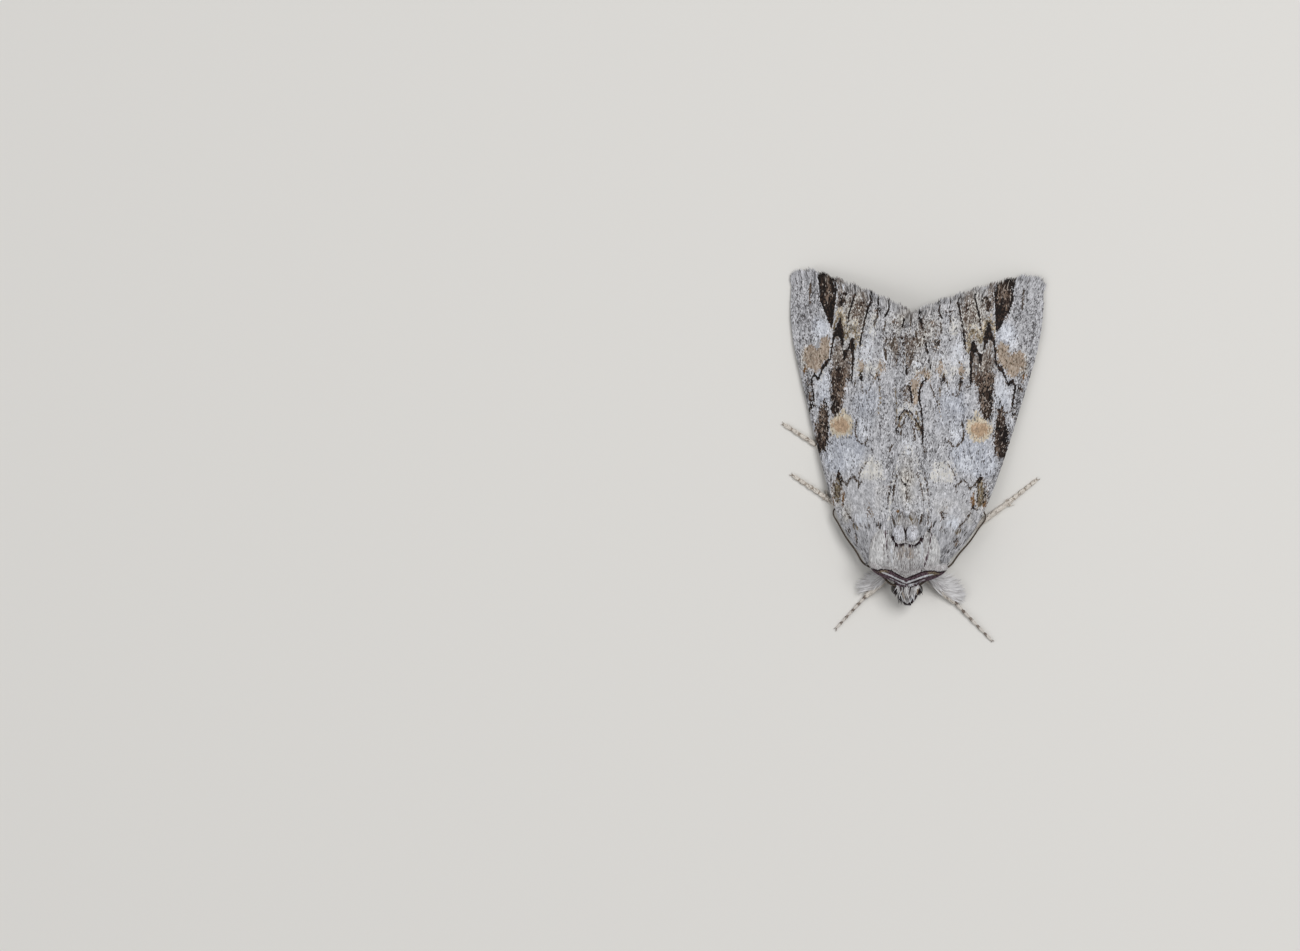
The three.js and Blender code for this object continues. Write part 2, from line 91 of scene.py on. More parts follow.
# %% [markdown]
# ## One set of coordinates
# Everything is drawn in the moth's own millimetres: x runs from the middle line to its left side,
# y towards the tail, z up. Two solids tell where that frame lies in the scene: the eyes stand at
# known places. Each finished mesh is brought there once, so its object can stay at the origin.

# %% From millimetres to the frame
EYE_CENTER = (1.45, -17.75, 3.75)
eye_boxes = [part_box("eye_left"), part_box("eye_right")]
middle_x = sum(box[0][0] + box[1][0] for box in eye_boxes) / 4
middle_y = (eye_boxes[0][0][1] + eye_boxes[0][1][1]) / 2 - EYE_CENTER[1] / 1000
TO_FRAME = Matrix.Translation((middle_x, middle_y, 0)) @ Matrix.Scale(0.001, 4)
print("the moth's own origin lies at", [round(value, 6) for value in TO_FRAME.translation])

# %% [markdown]
# ## Camera
# A moth on a flat surface is looked at from straight above, but never quite: here the eye is six
# degrees to its left side. A long lens a metre away keeps the wings free of perspective. The camera
# aims beside the moth, because it doesn't sit in the middle of the frame.

# %% Camera
CAMERA_AT = (105.1, 0.0, 1001.05)
CAMERA_AIM = (-32.874, -4.224, 1.05)
CAMERA_ROLL = math.radians(1.767)
LENS, SENSOR = 222.9, 36
PICTURE_WIDTH, PICTURE_HEIGHT = 1300, 951

camera_data = bpy.data.cameras.new("camera")
camera_data.lens = LENS
camera_data.sensor_width = SENSOR
camera_data.clip_start = 0.05
camera_data.clip_end = 10
camera = bpy.data.objects.new("camera", camera_data)
bpy.context.scene.collection.objects.link(camera)
camera.location = TO_FRAME @ Vector(CAMERA_AT)
sight = (Vector(CAMERA_AIM) - Vector(CAMERA_AT)).normalized()
to_right = sight.cross(Vector((0, 1, 0))).normalized()
to_top = to_right.cross(sight)
rolled_right = to_right * math.cos(CAMERA_ROLL) + to_top * math.sin(CAMERA_ROLL)
rolled_top = to_top * math.cos(CAMERA_ROLL) - to_right * math.sin(CAMERA_ROLL)
camera.rotation_mode = "QUATERNION"
camera.rotation_quaternion = Matrix((rolled_right, rolled_top, -sight)).transposed().to_quaternion()
bpy.context.scene.camera = camera


def on_picture(point):
    """Where a point of the moth falls in the picture, in pixels from its top left corner."""
    seen = Vector(point) - Vector(CAMERA_AT)
    scale = LENS / SENSOR * PICTURE_WIDTH / seen.dot(sight)
    across = PICTURE_WIDTH / 2 + scale * seen.dot(rolled_right)
    down = PICTURE_HEIGHT / 2 - scale * seen.dot(rolled_top)
    return round(across, 1), round(down, 1)


print("the head's tip falls at", on_picture((0, -19.5, 3.5)), "and the axis at", on_picture((0, 0, 6.9)))

# %% [markdown]
# ## Floor and light
# The floor is plain and pale. The main light is broad and comes from beyond the moth's left side,
# towards its tail, so that the roof of the wings throws a soft shadow to its right.

# %% Wires and nodes
class Wire:
    """One output of a node, in a shader or a geometry tree. Arithmetic on wires adds Math nodes."""

    def __init__(self, tree, socket=None):
        self.tree = tree
        self.socket = socket

    def node(self, kind, settings=None, inputs=None, out=0):
        """Adds any node: its settings first, then its sockets, each named or numbered."""
        made = self.tree.nodes.new(kind)
        for name, value in (settings or {}).items():
            setattr(made, name, value)
        for key, value in (inputs or {}).items():
            if isinstance(value, Wire):
                self.tree.links.new(value.socket, made.inputs[key])
            else:
                made.inputs[key].default_value = value
        return Wire(self.tree, made.outputs[out])

    def also(self, out):
        """Another output of the same node."""
        return Wire(self.tree, self.socket.node.outputs[out])

    def math(self, operation, *values):
        return self.node("ShaderNodeMath", {"operation": operation}, dict(enumerate(values)))

    def __add__(self, other):
        return self.math("ADD", self, other)

    def __sub__(self, other):
        return self.math("SUBTRACT", self, other)

    def __rsub__(self, other):
        return self.math("SUBTRACT", other, self)

    def __mul__(self, other):
        return self.math("MULTIPLY", self, other)

    def __truediv__(self, other):
        return self.math("DIVIDE", self, other)

    def __rtruediv__(self, other):
        return self.math("DIVIDE", other, self)

    def __lt__(self, other):
        return self.math("LESS_THAN", self, other)

    __radd__ = __add__
    __rmul__ = __mul__

    def stretched(self, *amounts):
        """A place with each of its three numbers multiplied."""
        return self.node("ShaderNodeVectorMath", {"operation": "MULTIPLY"}, {0: self, 1: amounts})

    def part(self, axis):
        """One number of a vector: 0 is x, 1 is y, 2 is z."""
        return self.node("ShaderNodeSeparateXYZ", None, {"Vector": self}).also(axis)

    def noise(self, scale, detail=2.0):
        """A smooth random wobble, read at this place."""
        return self.node("ShaderNodeTexNoise", None, {"Vector": self, "Scale": scale, "Detail": detail})

    def fraction(self):
        """What is left after the whole number."""
        return self.math("FRACT", self)

    def rise(self, low, high):
        """A smooth step from 0 at low to 1 at high."""
        sockets = {"Value": self, "From Min": low, "From Max": high}
        return self.node("ShaderNodeMapRange", {"interpolation_type": "SMOOTHSTEP"}, sockets)

    def blend(self, first, second):
        """From the first colour to the second, by this wire."""
        return self.node("ShaderNodeMix", {"data_type": "RGBA"}, {0: self, 6: first, 7: second}, 2)


def paint(red, green, blue):
    """A colour in 0 to 255 as it looks on a screen, made linear."""
    return tuple((value / 255) ** 2.2 for value in (red, green, blue)) + (1.0,)


print("a pale scale's grey is", [round(value, 3) for value in paint(190, 191, 194)])

# %% Materials in general
def new_material(name, slot_color):
    material = bpy.data.materials.new(name)
    material.use_nodes = True
    material.diffuse_color = slot_color
    tree = material.node_tree
    tree.nodes.clear()
    return material, Wire(tree)


def finish_material(start, color, roughness, height=None, depth=0.0, specular=0.3, sheen=0.0, coat=0.0):
    """Closes a material: colour and roughness may vary over the surface, the rest is one number."""
    sockets = {"Base Color": color, "Roughness": roughness, "Specular IOR Level": specular}
    sockets.update({"Sheen Weight": sheen, "Coat Weight": coat})
    if height is not None:
        bump = {"Height": height, "Distance": depth}
        sockets["Normal"] = start.node("ShaderNodeBump", None, bump, "Normal")
    shader = start.node("ShaderNodeBsdfPrincipled", None, sockets)
    output = start.tree.nodes.new("ShaderNodeOutputMaterial")
    start.tree.links.new(shader.socket, output.inputs["Surface"])


floor_material, start = new_material("pale_floor", (0.8, 0.8, 0.8, 1))
finish_material(start, paint(226, 224, 220), 0.8)
print("floor material ready")

# %% Floor and lights
def link(thing):
    bpy.context.scene.collection.objects.link(thing)
    return thing


FLOOR_REACH = 2.0
floor_mesh = bpy.data.meshes.new("floor")
corners = [(x * FLOOR_REACH, y * FLOOR_REACH, 0) for x, y in ((-1, -1), (1, -1), (1, 1), (-1, 1))]
floor_mesh.from_pydata(corners, [], [(0, 1, 2, 3)])
floor_mesh.materials.append(floor_material)
floor = link(bpy.data.objects.new("floor", floor_mesh))
floor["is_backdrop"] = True


def area_light(name, direction, distance, size, power):
    """A square lamp in this direction from the moth, facing it."""
    data = bpy.data.lights.new(name, "AREA")
    data.size = size
    data.energy = power
    lamp = link(bpy.data.objects.new(name, data))
    lamp.location = Vector(direction).normalized() * distance
    lamp.rotation_euler = Vector(direction).to_track_quat("Z", "Y").to_euler()


area_light("key", (0.5, 0.3, 1.15), 0.9, 0.4, 4.6)
area_light("fill", (-0.9, -0.3, 1.0), 1.2, 1.0, 3.2)
world = bpy.data.worlds.new("studio")
world.use_nodes = True
world.node_tree.nodes["Background"].inputs["Color"].default_value = (1, 1, 1, 1)
world.node_tree.nodes["Background"].inputs["Strength"].default_value = 0.3
bpy.context.scene.world = world
bpy.context.scene.view_settings.view_transform = "Standard"

# %% [markdown]
# ## The roof of the wings
# The forewings lie on each other along the middle line and slope to the ground at their front edges.
# A few heights and widths along the body, joined smoothly, give that roof, and every point of a wing
# lies on it. This is how a maker would lay a template: few stations, fair curves between.

# %% Fair curves
def fair(pairs):
    """A smooth curve through pairs of (y, value), level beyond its ends."""
    at, values = np.array(pairs, float).T
    step = np.arange(len(at))
    before, after = np.maximum(step - 1, 0), np.minimum(step + 1, len(at) - 1)
    slopes = (values[after] - values[before]) / (at[after] - at[before])

    def curve(y):
        y = np.clip(np.asarray(y, float), at[0], at[-1])
        i = np.clip(np.searchsorted(at, y, side="right") - 1, 0, len(at) - 2)
        span = at[i + 1] - at[i]
        u = (y - at[i]) / span
        start_part = values[i] * (1 + 2 * u) * (1 - u) ** 2 + slopes[i] * span * u * (1 - u) ** 2
        return start_part + values[i + 1] * u * u * (3 - 2 * u) + slopes[i + 1] * span * u * u * (u - 1)

    return curve


def smoothstep(x, low, high):
    u = np.clip((np.asarray(x, float) - low) / (high - low), 0, 1)
    return u * u * (3 - 2 * u)


half_width = fair([(-16, 3.9), (-14.6, 4.9), (-13.2, 5.7), (-12, 6.75), (-10, 8.15), (-8, 9.15), (-5, 10.3),
                   (0, 11.85), (6, 13.5), (12, 15.1), (16, 15.75), (20, 15.8), (21.6, 15.45), (23.1, 14.4)])
ridge_height = fair([(-17, 6.2), (-13, 7.6), (-8, 7.4), (0, 6.9), (8, 6.0), (13, 5.2), (17, 4.4),
                     (23, 3.0)])
edge_height = fair([(-16, 3.9), (-13, 3.2), (-10, 2.6), (-8, 2.35), (-6, 2.0), (-2, 1.45), (4, 1.0),
                    (12, 0.75), (16, 0.6), (24, 0.35)])
hind_edge = fair([(-10, 0.4), (-7, -0.8), (-2, -1.4), (4, -1.6), (14, -1.6), (16.5, -0.8), (24, 0.2)])
OVERLAP = 1.6
print("the wings are", 2 * float(half_width(20)), "mm across at their widest")

# %% Heights
def roof(x, y):
    share = np.minimum(np.abs(x) / half_width(y), 1)
    edge = edge_height(y)
    return edge + (ridge_height(y) - edge) * (1 - share ** 1.6)


SOLID_DIP, SHEET_DIP, EDGE_DIP = 1.0, 0.32, 0.2


def near_middle(x):
    """1 where the right wing passes under the left one, near the middle line, and 0 further out."""
    return 1 - smoothstep(x, OVERLAP + 0.4, OVERLAP + 2.6)


def outer_margin(x):
    share = np.clip((x + OVERLAP) / (half_width(20) + OVERLAP), 0, 1)
    return 16.5 + 6.6 * share ** 0.72 - 1.6 * share ** 14


print("roof height over the middle of the abdomen:", round(float(roof(0, 0)), 2), "mm")

# %% [markdown]
# ## Sheets
# A wing is a closed sheet: two faces and a rim, a tenth of a millimetre thick. It is made from grids
# of points with numpy, which is quick and keeps the order of the points known. Values that paint the
# pattern are then stored on those points.

# %% Mesh helpers
def new_mesh(name, points, faces):
    mesh = bpy.data.meshes.new(name)
    mesh.from_pydata(np.asarray(points).tolist(), [], np.asarray(faces).tolist())
    mesh.update()
    return mesh


def set_values(mesh, name, values):
    """Stores one number or one vector on each point."""
    values = np.asarray(values, np.float32)
    kind = "FLOAT" if values.ndim == 1 else "FLOAT_VECTOR"
    old = mesh.attributes.get(name)
    if old:
        mesh.attributes.remove(old)
    stored = mesh.attributes.new(name, kind, "POINT")
    stored.data.foreach_set("value" if values.ndim == 1 else "vector", values.ravel())


def vectors(mesh, name):
    """Reads a stored vector of each point."""
    values = np.empty(len(mesh.vertices) * 3, np.float32)
    mesh.attributes[name].data.foreach_get("vector", values)
    return values.reshape(-1, 3)


def numbers(mesh, name):
    """Reads a stored number of each point."""
    values = np.empty(len(mesh.vertices), np.float32)
    mesh.attributes[name].data.foreach_get("value", values)
    return values


def points_of(mesh):
    points = np.empty(len(mesh.vertices) * 3)
    mesh.vertices.foreach_get("co", points)
    return points.reshape(-1, 3)


def normals_of(mesh):
    normals = np.empty(len(mesh.vertices) * 3)
    mesh.vertices.foreach_get("normal", normals)
    return normals.reshape(-1, 3)


def settle(mesh, material, replaces=(), smooth=True):
    """Brings a mesh in millimetres to its place in the frame and makes it a piece of the moth."""
    mesh.transform(TO_FRAME)
    mesh.materials.clear()
    mesh.materials.append(material)
    mesh.polygons.foreach_set("use_smooth", [smooth] * len(mesh.polygons))
    mesh.update()
    piece = link(bpy.data.objects.new(mesh.name, mesh))
    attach(piece, "root")
    if replaces:
        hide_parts(*replaces)
    print(mesh.name, sum(len(polygon.vertices) - 2 for polygon in mesh.polygons), "triangles")


print("mesh helpers ready")

# %% Closed sheets
SHEET = 0.12
SIDES = ((1, "left"), (-1, "right"))


def sheet_faces(rows, columns, turned):
    """Faces of a closed sheet: a top grid, then a bottom grid, and the rim between them."""
    i, j = np.meshgrid(np.arange(rows), np.arange(columns), indexing="ij")
    a = (i * (columns + 1) + j).ravel()
    quads = np.stack([a, a + 1, a + columns + 2, a + columns + 1], 1)
    below = (rows + 1) * (columns + 1)
    faces = [quads, quads[:, ::-1] + below]
    along = np.arange(columns)
    down = np.arange(rows) * (columns + 1)
    edges = [(along, along + 1), (rows * (columns + 1) + along + 1, rows * (columns + 1) + along),
             (down + columns + 1, down), (down + columns, down + 2 * columns + 1)]
    for first, second in edges:
        faces.append(np.stack([first, first + below, second + below, second], 1))
    faces = np.concatenate(faces)
    return faces[:, ::-1] if turned else faces


def grid(rows, columns):
    """How far along a wing and how far across it each point of a grid lies, from 0 to 1."""
    return np.meshgrid(np.linspace(0, 1, rows + 1), np.linspace(0, 1, columns + 1), indexing="ij")


def both_faces(values):
    """The same values for the top and the bottom of a sheet."""
    return np.tile(values.ravel(), 2)


def sheet(name, side, x, y, level, share, across):
    """A closed sheet on a grid of points, mirrored for the right side. It knows the grid's places."""
    top = np.stack([side * x, y, level], -1).reshape(-1, 3)
    faces = sheet_faces(x.shape[0] - 1, x.shape[1] - 1, side < 0)
    mesh = new_mesh(name, np.concatenate([top, top - (0, 0, SHEET)]), faces)
    set_values(mesh, "below", np.r_[np.zeros(x.size), np.ones(x.size)])
    set_values(mesh, "along", both_faces(share))
    set_values(mesh, "across", both_faces(across))
    return mesh


print("a sheet of 2 by 3 has", len(sheet_faces(2, 3, False)), "faces")

# %% [markdown]
# ## The pattern as distances
# The pattern of such a wing is made of wavy cross lines, a kidney-shaped spot, and dark streaks on
# the veins. Each mark is drawn as a few points, in millimetres out from the middle line and along the
# body. For every point of the wing we store how far it is from the nearest mark of a colour, below
# zero inside. A distance stays sharp between mesh points, where a stored colour would blur.

# %% Distance to strokes and patches
def to_stroke(x, y, line, width):
    """Distance in mm to a stroke; its ends taper to a third of the width."""
    best = np.full(x.shape, 9.0)
    line = np.array(line, float)
    steps = np.r_[0, np.cumsum(np.hypot(*np.diff(line, axis=0).T))]
    for (ax, ay), (bx, by), s, e in zip(line, line[1:], steps, steps[1:]):
        dx, dy = bx - ax, by - ay
        t = np.clip(((x - ax) * dx + (y - ay) * dy) / (dx * dx + dy * dy), 0, 1)
        along = (s + (e - s) * t) / steps[-1]
        thick = width * np.minimum(1, 0.35 + 5 * np.minimum(along, 1 - along))
        best = np.minimum(best, np.hypot(x - ax - t * dx, y - ay - t * dy) - thick)
    return best


def to_patch(x, y, corners):
    """Distance in mm to the rim of a patch, below zero inside it."""
    ring = np.array(corners, float)
    rim = to_stroke(x, y, np.r_[ring, ring[:1]], 0.0)
    inside = np.zeros(x.shape, bool)
    for (ax, ay), (bx, by) in zip(ring, np.roll(ring, -1, axis=0)):
        crosses = (ay > y) != (by > y)
        slope = (bx - ax) / (by - ay if by != ay else 1e-9)
        inside ^= crosses & (x < ax + (y - ay) * slope)
    return np.where(inside, -rim, rim)


def to_oval(x, y, oval):
    cx, cy, rx, ry = oval
    return (np.hypot((x - cx) / rx, (y - cy) / ry) - 1) * min(rx, ry)


def distances(x, y, marks):
    """The nearest of a colour's marks: strokes (width, points), patches of points, ovals of four numbers."""
    best = np.full(x.shape, 3.0)
    for width, line in marks.get("strokes", []):
        best = np.minimum(best, to_stroke(x, y, line, width))
    for corners in marks.get("patches", []):
        best = np.minimum(best, to_patch(x, y, corners))
    for oval in marks.get("ovals", []):
        best = np.minimum(best, to_oval(x, y, oval))
    return best


sample = to_stroke(np.array([1.0]), np.array([0.0]), [(0, -1), (0, 1)], 0.1)
print("distance from (1, 0) to a stroke along y:", round(float(sample[0]), 2))

# %% [markdown]
# ## Marks of the forewing
# The dark line across the outer third runs in teeth and two tall chevrons. Behind it a brown bar leads
# to the kidney-shaped spot, another bar lies at the front edge, and a wedge stands before the wing's
# corner. Between them lie tan, cream and whitish patches, and a black dash on each vein.

# %% Marks on both forewings
BOTH = {
    "smoke": {"patches": [[(7.4, 8.9), (7.35, 12.7), (8.05, 12.6), (8.6, 11.4), (8.95, 12.9), (9.35, 14.2),
         (10, 14.1), (10.35, 11.2), (10.35, 9.2), (10.2, 4.8), (9.3, 4), (8.5, 6), (8, 8.2)],
        [(5.9, 18.6), (6.5, 19.6), (7.3, 18.9), (7.6, 16.9), (7, 15.8), (6.3, 16.2)],
        [(6.5, 12.4), (6.3, 15.4), (6.9, 17), (7.3, 18), (8, 16.9), (7.4, 15.6), (7, 14.2), (6.9, 12.4)],
        [(8.3, 18), (8.5, 20.7), (9.9, 21.2), (10, 17.8), (9.2, 17.4)]],
        "ovals": [(13.4, 10.9, 0.5, 1.1), (3, 13.35, 0.5, 0.7), (9.5, -5.3, 0.3, 1.7),
        (4.6, -8.1, 0.25, 0.7)]},
    "white": {"patches": [[(10.45, 13.6), (10.55, 15), (11.3, 16), (12.6, 15.6), (13.3, 13.4), (12.4, 12.6),
         (11.8, 13.4), (11, 13.9)],
        [(10.3, 9.8), (11.2, 9.3), (12.1, 8.2), (12.35, 6.9), (11.9, 5.9), (11, 6.2), (10.6, 5.3),
         (10.3, 5)], [(4.9, 10.6), (4.9, 13.4), (5.7, 14.3), (6.4, 12.8), (6.7, 11), (5.8, 10.2)],
        [(11.9, 2), (11.8, 4.4), (12.3, 4.3), (12.7, 3), (12.4, 1.6)]],
        "ovals": [(2.4, 16.4, 0.36, 0.32), (4.4, 17.9, 0.36, 0.32), (6.6, 18.75, 0.38, 0.32),
        (8.6, 19.75, 0.38, 0.32), (3.4, 11.5, 0.8, 0.8), (5.8, 2.3, 0.75, 1.2), (7.2, -1.6, 1.2, 1.4),
        (5.6, -9.2, 0.9, 0.9), (9.9, -1.6, 0.4, 1.4)]},
    "cream": {"patches": [[(3.2, -1.5), (4.4, -1.2), (5.5, -1.5), (6, -2.7), (6.1, -3.8), (4.6, -3.9),
         (2.7, -3.8), (2.9, -2.6)]],
        "ovals": [(5.3, 9.9, 0.5, 0.8), (6.8, 9.9, 0.3, 0.9), (5, 15.6, 0.5, 1.6), (4.3, 9.6, 0.4, 0.6)],
        "strokes": [(0.09, [(8.35, -4.3), (8.3, -6.4)]), (0.08, [(10.2, 10.8), (11.2, 9.6), (11.9, 8.1)])]},
    "tan": {"patches": [[(10.4, 13.3), (11, 13.8), (11.7, 13.3), (12, 12.3), (12.6, 12.4), (13.1, 12.8),
         (13.7, 12.3), (13.9, 11), (13.3, 9.8), (12.7, 9.5), (12, 9.35), (11.5, 10.2), (11.1, 10.7),
         (10.5, 11.1), (10.35, 12.2)]],
        "ovals": [(3.7, 10.1, 0.4, 0.8), (6.25, 10.1, 0.38, 0.75), (7.55, 14.4, 0.25, 0.5)]},
    "olive": {"patches": [[(8.8, -3), (9.1, -3.3), (9.35, -4.4), (9.4, -5.8), (9.25, -6.8), (8.6, -7),
         (8.55, -6), (8.5, -4.6), (8.55, -3.7)]],
        "strokes": [(0.22, [(7.05, 12.2), (7.05, 14.1), (7.35, 15), (7.75, 14.9), (8.1, 14.3), (8.45, 13.6),
         (8.8, 15.3), (9.3, 16.8), (9.85, 15.6), (10.15, 14.2)]),
        (0.12, [(3.85, 9.9), (4, 9.6), (4.7, 8.2)]), (0.1, [(6, 9.5), (6.3, 9.6), (6.7, 8.6)]),
        (0.07, [(3.75, 7.8), (3.65, 5.9), (3.7, 5.1), (3.95, 3.9)]),
        (0.12, [(6.8, -9.9), (6.4, -10.25), (5.9, -10.45)])]},
    "ring": {"ovals": [(8.6, 2.75, 1.62, 1.6), (8.3, 4.4, 0.35, 0.5)],
        "strokes": [(0.1, [(6.66, 12.6), (6.62, 14.5), (7.05, 15.75), (7.75, 15.6), (8.2, 15), (8.45, 14.6),
         (8.7, 16.1), (9.25, 17.5), (9.95, 16.3), (10.3, 14.9)])]},
    "ochre": {"ovals": [(8.65, 2.7, 1.02, 0.92), (9.9, 2.85, 0.2, 0.3)]},
    "rust": {"ovals": [(8.1, -6.2, 0.2, 0.9), (13.7, 9.6, 0.25, 0.4), (11.35, 0.2, 0.42, 0.75),
        (9.5, -6.6, 0.15, 0.4)]},
    "brown": {"patches": [[(10, 21.4), (10.1, 19.2), (10.2, 17.7), (10.3, 15.9), (10.35, 15.1),
         (10.85, 16.1), (11.6, 17.3), (12, 18.8), (12.15, 20.3), (12.1, 21.7)],
        [(8.1, 8.2), (7.5, 8.9), (8.3, 9.8), (9.05, 10.1), (10.24, 9.5), (10.14, 7.66), (10.15, 6.15),
         (10, 4.6), (9.8, 3.8), (9, 4.2), (8.6, 5.4), (8.35, 6.8)],
        [(11, 6.3), (11.6, 4.6), (11.95, 2.8), (12.15, 1.2), (11.75, -0.9), (10.7, -0.5), (10.3, 1.2),
         (10.3, 2.5), (10.55, 3.9), (10.7, 5.2)], [(12.45, 5.7), (13.05, 4.9), (12.95, 3.9), (12.6, 4.7)]],
        "ovals": [(2.3, 15.75, 0.3, 0.26), (4.5, 17.2, 0.32, 0.26), (6.6, 18, 0.34, 0.28),
        (8.7, 19.05, 0.34, 0.28), (8.85, -3.4, 0.22, 0.36), (8.3, -7.1, 0.22, 0.22),
        (6.1, -11.9, 0.18, 0.4), (3, 13.3, 0.22, 0.3), (9.2, 18.2, 0.3, 0.6)],
        "strokes": [(0.06, [(8.75, -3), (8.5, -4.2), (8.55, -5.6), (8.7, -6.8)]),
        (0.05, [(9.1, -3.6), (9.4, -4.6), (9.3, -6.3)]), (0.12, [(6.05, 8.3), (6.28, 9.05), (6.55, 8.4)]),
        (0.13, [(3.85, 8.4), (4, 9.2), (4.35, 8.5)]), (0.11, [(13, 6.6), (12.8, 5.6)]),
        (0.1, [(13.5, 8.8), (13.25, 7.6)]), (0.1, [(12.3, 1.2), (12.1, 0.2)]),
        (0.07, [(3.7, -9.1), (3.35, -9.7), (3.05, -10.3), (2.9, -11)]),
        (0.07, [(4.58, -7.75), (4.72, -8.5)])]},
    "black": {"patches": [[(7.3, 11.6), (7.4, 13.5), (7.6, 13.9), (8, 12.9), (8.55, 10.7), (8.75, 12),
         (8.4, 12.3), (7.85, 12.4), (7.5, 11.3)],
        [(8.75, 12), (8.8, 14.2), (9.3, 16.3), (9.85, 14.6), (9.95, 13.8), (9.4, 14), (8.95, 13)],
        [(10.35, 15.2), (10.25, 18.6), (10.6, 18.2), (10.75, 19.2), (11, 17.9), (11.25, 18.3), (11.2, 16.9),
         (10.8, 16)]],
        "strokes": [(0.08, [(7.45, 8.2), (7.4, 10.2), (7.38, 12.1)]),
        (0.13, [(7.38, 10.6), (7.4, 12.6), (7.6, 13.5)]),
        (0.09, [(9.85, 14.8), (10.1, 13.4), (10.3, 12), (10.38, 10.95)]),
        (0.15, [(10.35, 11.1), (10.85, 10.55), (11.25, 10.1), (11.5, 9.5)]),
        (0.1, [(11.4, 9.8), (11.65, 9.1), (11.9, 8.45), (12.45, 9.1), (12.75, 8.45), (12.7, 7.8),
         (12.55, 6.7), (12.4, 5.6)]), (0.08, [(7.2, 20.2), (7.8, 18.2), (8.15, 16.8), (8.35, 15.2)]),
        (0.09, [(5.1, 19.4), (5.75, 17.4), (6.1, 15.9), (6.4, 14.3), (6.6, 12.7)]),
        (0.09, [(2.9, 18.2), (3.25, 17.1), (3.6, 16.4)]), (0.08, [(4.1, 18.9), (4.5, 17.7)]),
        (0.14, [(9.9, 21.2), (10.1, 19), (10.25, 17), (10.35, 15)]),
        (0.1, [(12.1, 21.4), (12.1, 19.8), (11.9, 18.4), (11.2, 16.8), (10.5, 15.3)]),
        (0.06, [(3.95, 8.5), (4, 9), (4.3, 8.8)]), (0.06, [(6.15, 8.5), (6.25, 8.9), (6.4, 8.6)])],
        "ovals": [(10.95, 10.45, 0.22, 0.32), (8.85, -3.45, 0.18, 0.4)]},
    "line": {"strokes": [(0.03, [(6.45, 8.5), (6.2, 8.6), (6.15, 8.1), (6.05, 7.2), (5.8, 6.7), (5.4, 6.9),
         (4.75, 7.9), (4.25, 9), (4, 9.2), (3.92, 8.1), (3.85, 7.4)]),
        (0.1, [(7.4, 8.2), (7.15, 7.95), (6.85, 8.1)]),
        (0.08, [(6.5, 3.9), (6.75, 2.7), (6.78, 1.7), (6.5, 1), (5.95, 0.55), (5.4, 0.6), (5, 1.3)]),
        (0.07, [(5, -1.6), (5.5, -2.2), (5.9, -3), (6.1, -3.9)]),
        (0.1, [(5.3, -4.15), (6, -4.4), (6.5, -4), (6.8, -3.5), (7.25, -3.9), (7.7, -4.7), (8.2, -4.3),
         (8.65, -3.4)]), (0.08, [(6, -4.4), (6.2, -5.2)]), (0.08, [(5.2, -9.7), (5.8, -9.95)]),
        (0.08, [(4.9, -10.05), (4.2, -9.95)]), (0.11, [(7, -10.5), (7.36, -11.15)]),
        (0.08, [(7.95, -7.5), (7.4, -8.4), (6.7, -9.35), (6.4, -9.85)]), (0.1, [(2.3, -0.4), (1.9, 0.6)]),
        (0.08, [(3.4, 16), (3.7, 14.4)]), (0.1, [(4.4, 16.9), (4.9, 15.2)]),
        (0.1, [(13.4, 20.5), (13.3, 17.6)]), (0.1, [(9.1, 21), (9.2, 19.9)]),
        (0.1, [(8.9, 18.6), (9.2, 17.4)]), (0.08, [(10.9, 5.4), (11.6, 4.9), (12.4, 5.2)])]}}
print("black strokes on both wings:", len(BOTH["black"]["strokes"]))

# %% [markdown]
# Along the middle line the two sides differ, because one wing lies on the other. These marks are drawn
# in the moth's own x, and each wing takes the part that falls on it.

